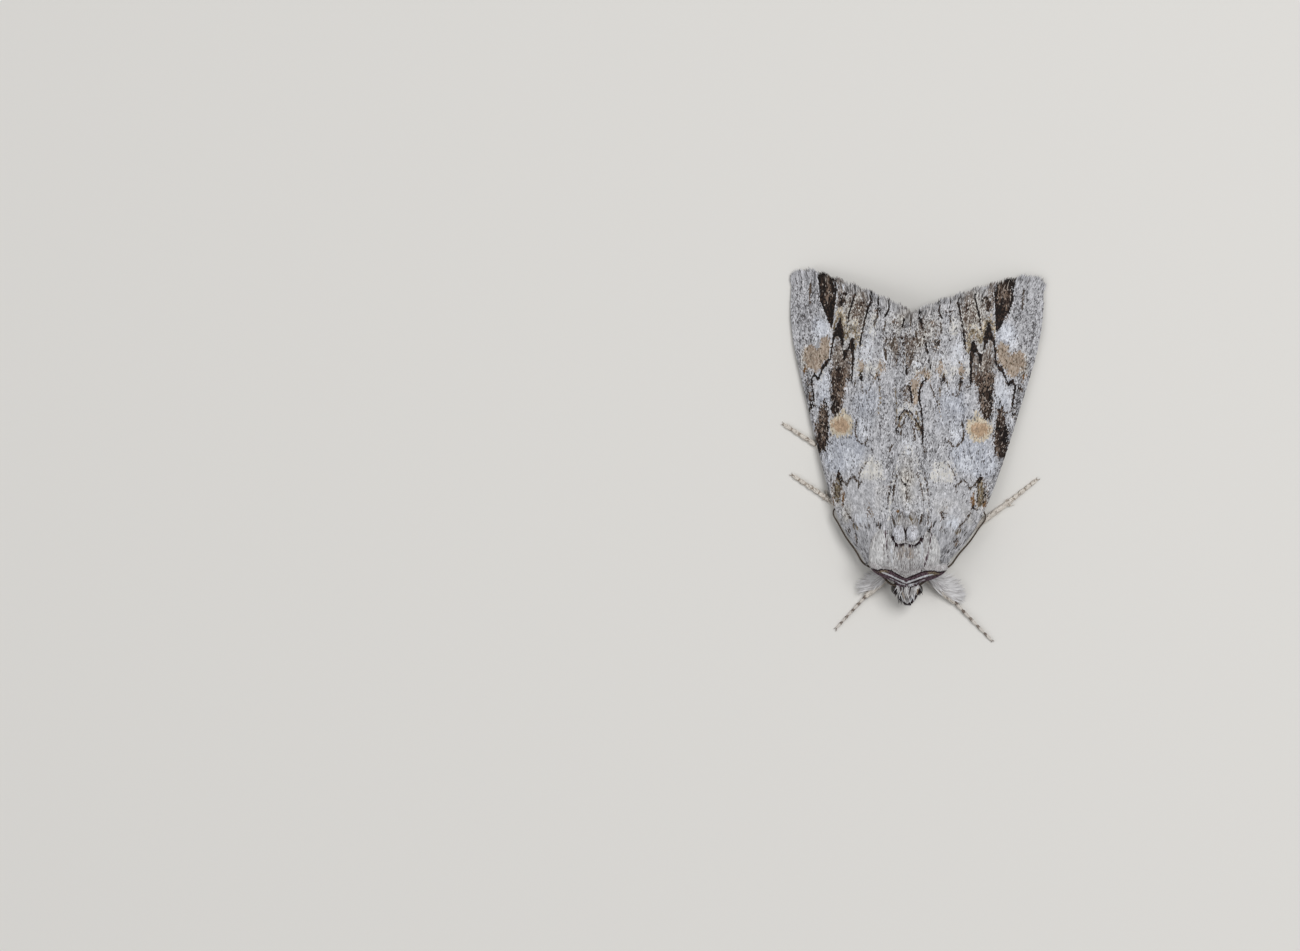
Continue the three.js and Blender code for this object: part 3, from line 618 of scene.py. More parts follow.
# %% Marks along the middle
MIDDLE = {
    "black": {"strokes": [(0.11, [(0.64, 16.8), (1, 16), (1.25, 15.2)]), (0.05, [(1.35, 15), (1.6, 13.9)]),
        (0.08, [(1.75, 13.4), (2.1, 11.9)]), (0.05, [(2.2, 11.3), (2.5, 10.15)]),
        (0.12, [(-1.08, 16.3), (-1.27, 15.2)]), (0.08, [(-1.29, 14.2), (-1.08, 12.8)]),
        (0.06, [(-1, 12.3), (-0.69, 10.95)]), (0.12, [(-0.62, 10.5), (-0.39, 9.3)]),
        (0.11, [(2.1, 8.9), (1.6, 8.45), (1.27, 7.5), (1.24, 6.5), (1.5, 5.4), (1.71, 3.9)]),
        (0.1, [(1.71, 3.9), (1.86, 2.1), (1.9, 0.6)]), (0.04, [(-1.35, 3.2), (-1.05, 4.2), (-0.4, 5.05)]),
        (0.05, [(0.05, 4.9), (0.6, 4.3), (1.2, 3.4), (1.75, 2.3)]), (0.06, [(-1.5, 2.7), (-1.3, 1.9)]),
        (0.11, [(-0.11, 8.3), (0.16, 7.04), (0.44, 5.83)]),
        (0.06, [(-0.57, -3.7), (0.05, -4.5), (0.25, -3.8)]), (0.07, [(-0.4, -8.3), (0.04, -9.8)]),
        (0.07, [(0.56, -8.8), (0.35, -9.8)])]},
    "line": {"strokes": [(0.05, [(2.4, 8.4), (3, 6.9), (3.4, 6.2)]), (0.04, [(3.4, 6.2), (3.6, 5.2)]),
        (0.1, [(0.1, -5), (0.22, -6.3)]), (0.14, [(-2.1, 14.2), (-2.6, 12.4)]),
        (0.12, [(-3.4, 12.6), (-3.1, 11)]), (0.12, [(0.4, 14.9), (0.9, 12.8)]),
        (0.1, [(-0.4, 16.4), (-0.2, 14.8)]), (0.12, [(0.2, 12.2), (-0.1, 10.4)]),
        (0.04, [(1.95, -2.2), (2.62, -4.45), (3, -7.4), (2.8, -9.4)]),
        (0.04, [(-1.6, -2.6), (-2.05, -4.7), (-2.25, -7.6)]),
        (0.05, [(-0.95, -2.6), (-1.4, -4.4), (-1.6, -6.6)]),
        (0.05, [(1.25, -2.6), (1.9, -4.4), (2.3, -6.6)]), (0.12, [(-1.6, -8.2), (-1.2, -9.6)]),
        (0.12, [(2.2, -8), (1.9, -9.4)]), (0.1, [(-0.3, 4.1), (-0.7, 3), (-0.9, 1.6)]),
        (0.1, [(0.4, 3.6), (0.8, 2.4), (1, 1.2)])]},
    "brown": {"ovals": [(0.25, 13.7, 0.3, 0.26), (-1.94, -4.8, 0.2, 0.6), (1.75, 2.1, 0.15, 0.25),
        (-1.3, 2.7, 0.18, 0.6), (-0.3, 4.7, 0.16, 0.3), (0.9, 3, 0.13, 0.6)]},
    "rust": {"ovals": [(-1.09, 2.9, 0.17, 0.35), (-0.8, -8.05, 0.14, 0.35), (1.8, 2.5, 0.14, 0.2)],
        "strokes": [(0.12, [(0.95, -7.9), (0.56, -8.76)])]},
    "olive": {"strokes": [(0.17, [(-1.3, 2.1), (-1.2, 3.1), (-0.85, 4.1), (-0.27, 4.75), (0.2, 4.3),
         (0.67, 3.77), (1.31, 2.83), (1.8, 2)]),
        (0.05, [(-1.86, 7.9), (-1.73, 6.5), (-1.51, 5), (-1.45, 3.5)]),
        (0.12, [(0.9, 4.7), (1.3, 3.6), (1.6, 2.5)])]},
    "tan": {"patches": [[(-0.05, 8.3), (0.5, 8.8), (1.4, 8.8), (1.2, 7.4), (1.1, 5.9), (0.6, 5.5),
         (0.3, 6.9)]],
        "strokes": [(0.26, [(0.6, 8.9), (1.1, 9.5), (1.7, 9.8), (2.2, 9.2), (2.45, 8.6)])]},
    "cream": {"strokes": [(0.11, [(0.2, 9.1), (0.8, 9.9), (1.7, 10.35), (2.5, 9.6), (2.9, 8.8)]),
        (0.13, [(1.3, 5.3), (1.45, 4.7), (1.65, 3)]),
        (0.2, [(-1.6, 3.9), (-1.1, 4.9), (-0.3, 5.6), (0.4, 5.1), (1, 4.3)]),
        (0.13, [(0.1, 0.6), (0.71, 0), (1.66, -2.2), (2.34, -4.45), (2.74, -7.4), (2.5, -9.6)]),
        (0.13, [(0.1, 0.6), (-0.68, -1), (-1.32, -2.6), (-1.75, -4.7), (-1.97, -7.6), (-1.94, -9.6)])]},
    "smoke": {"patches": [[(-0.1, 8), (0.3, 6.2), (0.9, 5.4), (0.3, 4.6), (-0.6, 5.6), (-0.9, 7.4)]],
        "ovals": [(-2.1, 12.6, 0.6, 1.8), (-0.2, 12.2, 0.8, 2.4), (1.2, 14.6, 0.5, 1.8),
        (3.1, 13.2, 0.4, 1.3)]},
    "white": {"strokes": [(0.1, [(0.1, 0.4), (0.75, -0.2), (1.66, -2.2), (2.34, -4.45), (2.74, -7.4),
         (2.5, -9.6)]),
        (0.1, [(0.1, 0.4), (-0.68, -1), (-1.32, -2.6), (-1.75, -4.7), (-1.97, -7.6), (-1.94, -9.6)])],
        "ovals": [(0.2, 14.4, 0.34, 0.32), (0.85, 10.5, 0.8, 0.8), (-0.3, 5.3, 0.8, 0.4),
        (0.1, 0.2, 0.7, 1), (0.44, -7.4, 0.4, 0.9), (-2.9, 11.5, 0.5, 0.6), (0.9, 12, 0.4, 0.8)]}}
SCALE_REACH = {"black": 0.045, "line": 0.035, "brown": 0.03, "olive": 0.03, "cream": 0.03}


def marked_wing(x, y, side, name):
    """Distances to a colour's marks on one wing. A mark reaches as far as the scales it colours."""
    apart = np.minimum(distances(x, y, BOTH[name]), distances(side * x, y, MIDDLE.get(name, {})))
    return apart - SCALE_REACH.get(name, 0)


print("colours of marks:", list(BOTH))

# %% [markdown]
# Between the marks the wing isn't one grey. Here and there more dark scales are mixed in, and
# elsewhere hardly any: soft clouds, each with a place, two radii and a strength. Others tint the wing,
# bluish below zero and brownish above it.

# %% Clouds of dark scales, and tints
CLOUDS = [(3, 13.4, 0.9, 1.2, 0.3), (7.5, 18.5, 1.6, 3, 0.28), (4.5, 17.8, 3.4, 2, 0.14),
    (14.6, 14, 0.7, 5, 0.3), (13.3, 18, 0.3, 3.4, 0.35), (12.6, 19.5, 0.3, 2, 0.25),
    (9.4, 10.6, 0.8, 1.6, 0.3), (13.6, 10.6, 0.7, 1.6, 0.25), (12.9, 18, 1.1, 3, 0.14),
    (10.9, 5.2, 0.5, 1.2, 0.4), (11.1, -1.6, 0.6, 1.5, 0.3), (10.2, -5, 0.4, 2, 0.35),
    (8.3, -8.8, 0.6, 1.4, 0.25), (6, 17.4, 0.5, 2.4, 0.3), (6.5, 14.2, 0.3, 2.4, 0.4),
    (8, 10.4, 0.5, 1.2, 0.4), (8.6, 14.6, 0.3, 2.4, 0.4), (3.4, 5, 0.35, 3.2, 0.2),
    (6.6, 6.2, 0.5, 1.6, 0.2), (13.2, 6.6, 0.6, 2.6, 0.6), (12.2, 1.6, 0.45, 2.2, 0.5),
    (6.9, -6, 0.4, 2.4, 0.16), (3, -6.5, 0.5, 2.2, 0.18), (4.4, -2.8, 1.4, 1.2, -0.14),
    (5.5, 11.8, 1, 1.8, -0.16), (11.2, 7.4, 0.9, 2.4, -0.16), (11.4, 14.6, 0.9, 1.2, -0.16),
    (7.4, -1.4, 2.4, 2.4, -0.1), (5, -8.5, 1.8, 2.8, -0.34), (6.8, -8, 1.6, 3, -0.24),
    (5.6, -5.4, 2.6, 1.4, -0.12)]
MIDDLE_CLOUDS = [(0.25, -2.9, 0.8, 1.5, 0.08), (0.3, -6, 1.6, 2.4, -0.06), (0.3, 12.6, 1, 2.4, 0.3),
    (-1.6, 11.6, 1.1, 2.4, 0.36), (-1, 6.8, 0.55, 1.5, 0.45), (2, 0.9, 0.35, 1, 0.45),
    (2.1, -1.2, 0.4, 1.3, 0.45), (2.5, -3.5, 0.35, 0.9, 0.35), (-2, -1.7, 0.35, 0.8, 0.3),
    # The cloud below zero at (-5.4, -7) is partly the right forewing's own paler base and partly painted
    # light: it lightens that side, which lies in the key light's shade.
    (-2, -3.8, 0.35, 1.6, 0.45), (-5.4, -7, 2.4, 3.6, -0.42), (-1.5, -8.5, 0.5, 0.8, 0.5),
    (2.2, -8.2, 0.45, 0.9, 0.45), (1.3, 14.2, 1.4, 2.2, 0.2), (-0.9, 14.8, 1.2, 2.2, 0.25),
    (0.4, 16.2, 2.2, 1.2, 0.25), (-1.6, 2, 0.8, 1.4, 0.2), (0.3, 2.4, 0.9, 1, 0.15),
    (1.9, 11.6, 0.6, 1.4, 0.2)]
TINTS = [(1, 14.5, 3, 5, 0.6), (7.6, 16.5, 2.4, 4, 0.9), (9.2, 11, 1, 1.6, 0.9), (13.6, 11, 0.9, 2, 0.8),
    (5.6, 10, 2.6, 1.4, 0.4), (4, -6.5, 3.6, 3, 0.3), (0, -3.6, 1.4, 3.4, 0.7), (9.2, -5.5, 0.9, 2, 0.8),
    (4.6, -2.6, 1.6, 1.4, 0.4), (7.6, -8.6, 0.9, 1.6, 0.4), (11.2, 7, 1.2, 3, -0.7),
    (7.2, -0.4, 2.4, 2.8, -0.9), (5.2, 5.6, 2.4, 2.6, -0.7), (11.6, 14.8, 1.4, 1.6, -0.9),
    (5.6, 13, 1, 1.8, -0.5), (9.5, -1.5, 1.4, 2.4, -0.8), (5.6, -9.2, 1, 1, -0.7)]


def clouds(x, y, puffs):
    total = np.zeros(x.shape)
    for cx, cy, rx, ry, strength in puffs:
        total += strength * np.exp(-((x - cx) / rx) ** 2 - ((y - cy) / ry) ** 2)
    return total


print("clouds:", len(CLOUDS) + len(MIDDLE_CLOUDS), "tints:", len(TINTS))

# %% Forewing meshes
FORE_ROWS, FORE_COLUMNS = 240, 140
FRINGE_ROOM = 0.75
SCALLOPS, SCALLOP_DEPTH = 8.3, 0.12
RIPPLE = 0.05
VEIN_WIDTH = 0.16
VEIN_RISE = 0.1
WING_WIDTH = 17
VEIN_PLACES = [0.07, 0.14, 0.26, 0.39, 0.53, 0.655, 0.73, 0.8, 0.86, 0.92, 0.97]
VEIN_STARTS = [0.0, 0.3, 0.0, 0.42, 0.46, 0.42, 0.0, 0.5, 0.4, 0.25, 0.0]


def vein_relief(across, share):
    """Each vein is a low rounded ridge, and the membrane sags a little between two of them."""
    rise = np.zeros(across.shape)
    for place, starts in zip(VEIN_PLACES, VEIN_STARTS):
        ridge = np.exp(-((across - place) * WING_WIDTH / VEIN_WIDTH) ** 2)
        rise = np.maximum(rise, ridge * smoothstep(share, starts, starts + 0.12))
    return rise


def forewing_points(side):
    share, across = grid(FORE_ROWS, FORE_COLUMNS)
    base = -10 - 4.6 * across
    margin = outer_margin(-OVERLAP + (half_width(20) + OVERLAP) * across) - FRINGE_ROOM
    margin = margin + SCALLOP_DEPTH * np.cos(across * 2 * math.pi * SCALLOPS)
    y = base + (margin - base) * share
    edge = hind_edge(y)
    x = edge + (half_width(y) - edge) * across
    dip = SHEET_DIP * near_middle(x) if side < 0 else EDGE_DIP * (1 - smoothstep(x - edge, 0, 1.1))
    level = roof(x, y) - dip
    level = level - 0.03 + VEIN_RISE * vein_relief(across, share)
    wave = np.sin(x * 2.1 + 1.3 * side) * np.sin(y * 0.9)
    level = level + RIPPLE * wave * smoothstep(share, 0.1, 0.4)
    return share, across, x, y, np.maximum(level, 0.3)


def forewing(side, name):
    share, across, x, y, level = forewing_points(side)
    mesh = sheet(name, side, x, y, level, share, across)
    for key in BOTH:
        set_values(mesh, key, both_faces(marked_wing(x, y, side, key)))
    set_values(mesh, "cloud", both_faces(clouds(x, y, CLOUDS) + clouds(side * x, y, MIDDLE_CLOUDS)))
    set_values(mesh, "tint", both_faces(clouds(x, y, TINTS)))
    set_values(mesh, "vein", both_faces(vein_relief(across, share)))
    return mesh


forewing_meshes = {name: forewing(side, f"forewing_{name}_scaled") for side, name in SIDES}
print("points in one forewing:", len(forewing_meshes["left"].vertices))

# %% [markdown]
# ## Scales
# A wing's colour is a mosaic: thousands of flat scales, about a fifth of a millimetre long, each of
# one colour. A Voronoi texture with cells of that size gives every scale a random number. Near a
# mark's edge that number decides which side the scale takes, so edges look peppered and not airbrushed.
# The tufts that are grown later carry a random number of their own, which takes the cell's place.

# %% Scale mosaic
PALE, MID = paint(206, 206, 210), paint(158, 158, 162)
DUSK, DUSK_BROWN = paint(82, 79, 80), paint(98, 84, 72)
BLUISH, BLUISH_MID = paint(205, 208, 216), paint(157, 160, 170)
CREAM, CREAM_MID = paint(214, 211, 205), paint(160, 155, 149)
BLACK, BROWN, BROWN_PALE = paint(27, 21, 19), paint(68, 54, 46), paint(124, 108, 96)
SMOKE, SMOKE_PALE = paint(100, 90, 83), paint(160, 150, 142)
OLIVE, OLIVE_PALE = paint(86, 75, 59), paint(152, 138, 116)
TAN, TAN_PALE = paint(142, 125, 110), paint(182, 168, 154)
OCHRE, OCHRE_PALE = paint(160, 136, 112), paint(202, 175, 149)
RING, RING_PALE = paint(186, 172, 151), paint(214, 203, 184)
LINE, LINE_PALE = paint(50, 42, 36), paint(98, 86, 76)
RUST, RUST_PALE = paint(92, 66, 40), paint(138, 108, 78)
WHITE = paint(220, 223, 230)
SCALES_IN_A_METRE = 7600.0


def stored(start, name, out="Fac"):
    return start.node("ShaderNodeAttribute", {"attribute_name": name}, None, out)


def at_place(start):
    return start.node("ShaderNodeTexCoord", out="Object")


def mosaic(start):
    """Three random numbers of each scale, the height inside it, and two slower wobbles."""
    spot = at_place(start)
    laid = spot.stretched(1.0, 0.62, 0.8)
    cell = laid.node("ShaderNodeTexVoronoi", None, {"Vector": laid, "Scale": SCALES_IN_A_METRE}, "Color")
    parts = cell.node("ShaderNodeSeparateColor", None, {"Color": cell})
    tuft, own = stored(start, "tuft"), stored(start, "shade")
    random = []
    for channel, stretch in enumerate((1.0, 7.3, 17.7)):
        random.append(parts.also(channel) * (1.0 - tuft) + (own * stretch).fraction() * tuft)
    return (*random, cell.also("Distance"), spot.noise(2300.0), spot.noise(420.0))


def streaked(start, scale=2600.0, squeeze=0.16):
    """A wobble drawn out along the wing, as the veins and the rows of scales run."""
    return at_place(start).stretched(1.0, squeeze, 1.0).noise(scale)


def marked(start, base, lots, fine, palette):
    """Lays the marks over the base colour, from the lightest to the darkest, each with its frayed edge."""
    color = base
    streak = streaked(start)
    for name, (tint, frayed, ragged) in palette.items():
        wobble = (fine * 0.5 + streak * 0.5 - 0.5) * (2 * ragged)
        inside = (stored(start, name) + (lots - 0.5) * frayed + wobble) < 0.0
        color = inside.blend(color, tint)
    return color


def shaded(start, color, light):
    """A colour made lighter or darker by one number."""
    grey = start.node("ShaderNodeCombineColor", None, {"Red": light, "Green": light, "Blue": light})
    settings = {"data_type": "RGBA", "blend_type": "MULTIPLY"}
    return start.node("ShaderNodeMix", settings, {0: 1.0, 6: color, 7: grey}, 2)


def grained(start, color):
    """Fine streaks along the wing and blotches half a millimetre wide make the colour uneven."""
    blotch = at_place(start).noise(1500.0, 3.0)
    return shaded(start, color, 0.24 + streaked(start, 3200.0, 0.22) * 0.65 + blotch * 0.85)


wing_material, start = new_material("wing_scales", PALE)
lot, tone, third, dome, fine, slow = mosaic(start)
streak = streaked(start, 2300.0)
share_dark = stored(start, "cloud") + (slow - 0.5) * 0.5 + (fine - 0.5) * 0.8 + (streak - 0.5) * 1.15 + 0.21
share_dark = share_dark - stored(start, "vein") * 0.08
warm = stored(start, "tint") + (slow - 0.5) * 0.8
brownish, bluish = warm.rise(0.1, 0.9), warm.rise(-0.1, -0.8)
pale = bluish.blend(brownish.blend(PALE, CREAM), BLUISH)
mid = bluish.blend(brownish.blend(MID, CREAM_MID), BLUISH_MID)
dark = warm.rise(0.3, 0.9).blend(DUSK, DUSK_BROWN)
grey = tone.rise(0.0, 0.9).blend(mid, pale)
grey = (lot < share_dark).blend(grey, third.rise(0.2, 1.0).blend(dark, mid))
white = (lot < 0.3 + share_dark * 0.6).blend(tone.rise(0.0, 0.8).blend(pale, WHITE), grey)
cream = (lot < 0.2 + share_dark * 0.6).blend(tone.rise(0.0, 0.7).blend(pale, CREAM), grey)
smoke = (lot < share_dark * 0.7).blend(tone.rise(0.1, 1.0).blend(SMOKE, SMOKE_PALE), BROWN)
smoke = (third < 0.3).blend(smoke, grey)
tan = (lot < 0.1).blend(tone.rise(0.1, 0.9).blend(TAN, TAN_PALE), OLIVE)
ring = (lot < 0.15).blend(tone.rise(0.0, 0.9).blend(RING, RING_PALE), grey)
ochre = (lot < 0.06).blend(tone.rise(0.1, 1.0).blend(OCHRE, OCHRE_PALE), TAN)
olive = (lot < 0.2).blend(tone.rise(0.1, 1.0).blend(OLIVE, OLIVE_PALE), mid)
rust = tone.rise(0.1, 0.9).blend(RUST, RUST_PALE)
depth = streaked(start, 1300.0) + (slow - 0.5) * 0.8 + (tone - 0.5) * 0.16
brown = depth.rise(0.49, 0.64).blend(depth.rise(0.3, 0.5).blend(BLACK, BROWN), BROWN_PALE)
brown = (third < 0.09).blend((third < 0.68).blend(BLACK, brown), SMOKE_PALE)
line = (lot < 0.08).blend(tone.blend(LINE, LINE_PALE), grey)
black = (third < 0.2).blend(BLACK, BROWN)
over = marked(start, grey, lot, fine, {
    "smoke": (smoke, 0.7, 1.0), "white": (white, 1.1, 1.5), "cream": (cream, 0.6, 0.8),
    "tan": (tan, 0.5, 0.7), "olive": (olive, 0.25, 0.4), "ring": (ring, 0.4, 1.0),
    "ochre": (ochre, 0.35, 0.6), "rust": (rust, 0.2, 0.4), "line": (line, 0.14, 0.2),
    "brown": (brown, 0.4, 0.7), "black": (black, 0.12, 0.2)})
over = grained(start, over)
print("forewing's upper side has", len(wing_material.node_tree.nodes), "nodes")

# %% Underside of the forewing
SCALE_RELIEF = 0.00003


def banded(along, lot, bands, soft, dark, light):
    """Two pale bands across a wing, each from one share of its length to another."""
    first, second = (along.rise(low, low + soft) - along.rise(high, high + soft) for low, high in bands)
    return (first + second + (lot - 0.5) * 0.3).rise(0.45, 0.55).blend(dark, light)


def finish_wing(start, upper, under, lot, relief):
    """Gives a wing's two sides their colours in one material."""
    color = stored(start, "below").rise(0.45, 0.55).blend(upper, under)
    finish_material(start, color, 0.62 + lot * 0.25, relief, SCALE_RELIEF, specular=0.25)


along = stored(start, "along") + (fine - 0.5) * 0.02 + (stored(start, "across") - 0.5) * -0.06
bands = ((0.3, 0.44), (0.6, 0.76))
under = banded(along, lot, bands, 0.03, paint(52, 46, 44), paint(214, 208, 198))
finish_wing(start, over, under, lot, dome * -1.0 + fine * 1.2)
print("forewing's two sides have", len(wing_material.node_tree.nodes), "nodes")

# %% [markdown]
# ## Hindwings
# The hindwings are folded like a fan under the forewings. Only an edge of them shows, from behind or
# from below. They are black-brown above, with a white fringe, and have pale bands below.

# %% Hindwing meshes
HIND_ROWS, HIND_COLUMNS = 90, 84
PLEATS = 7
PLEAT_HEIGHT = 0.09
BELOW_FOREWING = 1.12
hind_inset = fair([(-9, 2.0), (8, 2.6), (15, 3.3), (19, 4.6)])


def hindwing(side, name):
    share, across = grid(HIND_ROWS, HIND_COLUMNS)
    fold = np.cos(across * 2 * math.pi * PLEATS)
    margin = 15.2 + 3.4 * np.sqrt(across) - 0.5 + 0.1 * fold
    base = -8.4 - 1.2 * across
    y = base + (margin - base) * share
    x = 0.3 + (half_width(y) - hind_inset(y) - 0.3) * across
    level = roof(x, y) - BELOW_FOREWING - SOLID_DIP * near_middle(x)
    level = level + PLEAT_HEIGHT * fold * smoothstep(share, 0, 0.3)
    return sheet(name, side, x, y, level, share, across)


hind_material, start = new_material("hindwing_scales", paint(43, 37, 35))
lot, tone, _, dome, fine, _ = mosaic(start)
upper = tone.blend(paint(34, 28, 26), paint(62, 54, 50))
hairy = (stored(start, "along") + (fine - 0.5) * 0.3).rise(0.05, 0.45)
upper = ((1.0 - hairy) * 0.7).blend(upper, paint(112, 100, 90))
upper = (stored(start, "along") + (lot - 0.5) * 0.02).rise(0.972, 0.985).blend(upper, paint(206, 202, 194))
along = stored(start, "along") + (fine - 0.5) * 0.03
bands = ((0.22, 0.4), (0.62, 0.78))
under = banded(along, lot, bands, 0.04, paint(46, 41, 40), paint(206, 200, 190))
finish_wing(start, upper, under, lot, dome * -1.0 + fine * 1.2)
hindwing_meshes = {name: hindwing(side, f"hindwing_{name}_scaled") for side, name in SIDES}
print("points in one hindwing:", len(hindwing_meshes["left"].vertices))

# %% [markdown]
# ## A coat of tufts
# Hair and hair-like scales grow from a surface in great numbers, so one Geometry Nodes tree makes
# every coat here. It scatters roots over a skin, sets a thin three-sided blade on each, lays it along
# the skin's own lie and bends its tip. Lengths, widths and the angle are inputs with names, and each
# blade remembers where its root was, so it can take the colour the skin has there.

# %% Trees in general
def new_tree(name, shape_in, amounts, shape_out):
    """A Geometry Nodes tree with named inputs: a shape, amounts and a material. Returns its first wire."""
    tree = bpy.data.node_groups.new(name, "GeometryNodeTree")
    tree.is_modifier = True

    def socket(name, kind, way="INPUT"):
        return tree.interface.new_socket(name=name, in_out=way, socket_type="NodeSocket" + kind)

    socket(shape_in, "Geometry")
    for key, value in amounts.items():
        socket(key, "Int" if isinstance(value, int) else "Float").default_value = value
    socket("Finish", "Material")
    socket(shape_out, "Geometry", "OUTPUT")
    return Wire(tree).node("NodeGroupInput", out=shape_in)


def field(start, name, kind="FLOAT"):
    """Reads a stored value of the geometry."""
    return start.node("GeometryNodeInputNamedAttribute", {"data_type": kind}, {"Name": name}, "Attribute")


def keep(geometry, name, value, kind="FLOAT"):
    """Stores a value on the points of a geometry."""
    settings = {"data_type": kind, "domain": "POINT"}
    sockets = {"Geometry": geometry, "Name": name, "Value": value}
    return geometry.node("GeometryNodeStoreNamedAttribute", settings, sockets, "Geometry")


def combined(x, y, z):
    """Three numbers as one vector."""
    wire = next(value for value in (x, y, z) if isinstance(value, Wire))
    return wire.node("ShaderNodeCombineXYZ", None, {"X": x, "Y": y, "Z": z})


def set_out(points, instance, rotation, scale, material, name):
    """Sets a copy of a shape on each point, makes the copies real, and ends the tree with them."""
    sockets = {"Points": points, "Instance": instance, "Rotation": rotation, "Scale": scale}
    shape = points.node("GeometryNodeInstanceOnPoints", None, sockets, "Instances")
    shape = shape.node("GeometryNodeRealizeInstances", None, {"Geometry": shape}, "Geometry")
    dressed = {"Geometry": shape, "Material": material}
    shape = shape.node("GeometryNodeSetMaterial", None, dressed, "Geometry")
    tree = shape.tree
    tree.links.new(shape.socket, tree.nodes.new("NodeGroupOutput").inputs[name])
    return tree


def plain(thing, name):
    """What an object's modifiers make of its mesh, as a plain mesh. The object and its own mesh go."""
    graph = bpy.context.evaluated_depsgraph_get()
    made = bpy.data.meshes.new_from_object(thing.evaluated_get(graph))
    used = thing.data
    bpy.data.objects.remove(thing)
    bpy.data.meshes.remove(used)
    made.name = name
    return made


def run_tree(tree, mesh, name, amounts):
    """Runs a tree on a mesh and returns the plain mesh that comes out."""
    thing = link(bpy.data.objects.new(name + "_start", mesh))
    modifier = thing.modifiers.new("nodes", "NODES")
    modifier.node_group = tree
    sockets = {item.name: item.identifier for item in tree.interface.items_tree if item.in_out == "INPUT"}
    for key, value in amounts.items():
        modifier[sockets[key]] = value
    return plain(thing, name)


print("helpers for trees ready")

# %% Coat tree
COAT_INPUTS = {"Spacing": 0.2, "Length": 0.8, "Width": 0.14, "Thickness": 0.06, "Lift": 0.3, "Curl": 0.15,
               "Disorder": 0.3, "Seed": 1, "Segments": 3}


def chance(start, low, high, seed):
    """A random number for each root."""
    return start.node("FunctionNodeRandomValue", {"data_type": "FLOAT"}, {2: low, 3: high, 8: seed}, 1)


def tuft_roots(skin, given):
    """Roots at random places of the skin, no two closer than the spacing, each with a shade of its own."""
    spacing = given("Spacing")
    sockets = {"Mesh": skin, "Distance Min": spacing, "Density Max": 4.0 / (spacing * spacing),
               "Density Factor": field(skin, "cover"), "Seed": given("Seed")}
    scatter = {"distribute_method": "POISSON"}
    roots = skin.node("GeometryNodeDistributePointsOnFaces", scatter, sockets, "Points")
    return keep(roots, "shade", chance(skin, 0.0, 1.0, 3))


def tuft_blade(skin, given):
    """A slim blade along y, fuller towards its tip, that droops as it goes."""
    sockets = {"Vertices": 3, "Side Segments": given("Segments"), "Radius Top": 0.0, "Radius Bottom": 1.0,
               "Depth": 1.0}
    cone = skin.node("GeometryNodeMeshCone", None, sockets, "Mesh")
    place = skin.node("GeometryNodeInputPosition")
    across, out, along = place.part(0), place.part(1), place.part(2)
    fat = 0.5 + along * 1.1
    droop = along * along * given("Curl") * given("Length")
    shape = combined(across * given("Width") * fat, along * given("Length"),
                     out * given("Thickness") * fat - droop)
    blade = keep(keep(cone, "blade", place, "FLOAT_VECTOR"), "tuft", 1.0)
    return blade.node("GeometryNodeSetPosition", None, {"Geometry": blade, "Position": shape}, "Geometry")


def tuft_rotation(skin, given):
    """Each tuft is laid along the lie, then lifted and turned a little by chance."""
    axes = {"Primary Axis": field(skin, "facing", "FLOAT_VECTOR"),
            "Secondary Axis": field(skin, "lie", "FLOAT_VECTOR")}
    settings = {"primary_axis": "Z", "secondary_axis": "Y"}
    laid = skin.node("FunctionNodeAxesToRotation", settings, axes, "Rotation")
    ruffle = combined(chance(skin, 0.6, 1.4, 7) * given("Lift"), 0.0,
                      chance(skin, -1.0, 1.0, 5) * given("Disorder"))
    bent = skin.node("FunctionNodeEulerToRotation", None, {"Euler": ruffle}, "Rotation")
    turns = {"Rotation": laid, "Rotate By": bent}
    return skin.node("FunctionNodeRotateRotation", {"rotation_space": "LOCAL"}, turns, "Rotation")


skin = new_tree("coat_of_tufts", "Skin", COAT_INPUTS, "Coat")
given = skin.also
grown = chance(skin, 0.7, 1.25, 9) * field(skin, "size")
COAT = set_out(tuft_roots(skin, given), tuft_blade(skin, given), tuft_rotation(skin, given),
               combined(0.4 + grown * 0.6, grown, grown), given("Finish"), "Coat")
print("the coat tree has", len(COAT.nodes), "nodes")

# %% Growing a coat
PATCH = 0.003
FLOOR_ROOM = 0.12
BODY_AXIS = 4.2


def give_unwrap(coat, flat):
    """Each tuft becomes a small patch at its root's place on the unwrapped skin."""
    blade = vectors(coat, "blade")
    low, high = flat.min(0), flat.max(0)
    flat = PATCH + (1 - 3 * PATCH) * (flat - low) / np.maximum(high - low, 1e-6)
    patch = PATCH * np.stack([0.5 + blade[:, 0] * 0.4 + blade[:, 1] * 0.15, blade[:, 2]], 1)
    corners = np.empty(len(coat.loops), np.int32)
    coat.loops.foreach_get("vertex_index", corners)
    layer = coat.uv_layers.new(name="OFBake")
    layer.data.foreach_set("uv", (flat + patch)[corners].astype(np.float32).ravel())


def tangent(normals, lie):
    """The lie of the coat, laid flat on the skin."""
    lie = np.broadcast_to(np.asarray(lie, float), normals.shape)
    lie = lie - normals * (lie * normals).sum(1, keepdims=True)
    return lie / np.maximum(np.linalg.norm(lie, axis=1, keepdims=True), 1e-6)


def rest_on_floor(mesh):
    """Hair that would reach into the floor lies down on it."""
    points = points_of(mesh)
    low = points[:, 2] < FLOOR_ROOM
    points[low, 2] = FLOOR_ROOM * np.exp((points[low, 2] - FLOOR_ROOM) / 0.4)
    mesh.vertices.foreach_set("co", points.ravel())


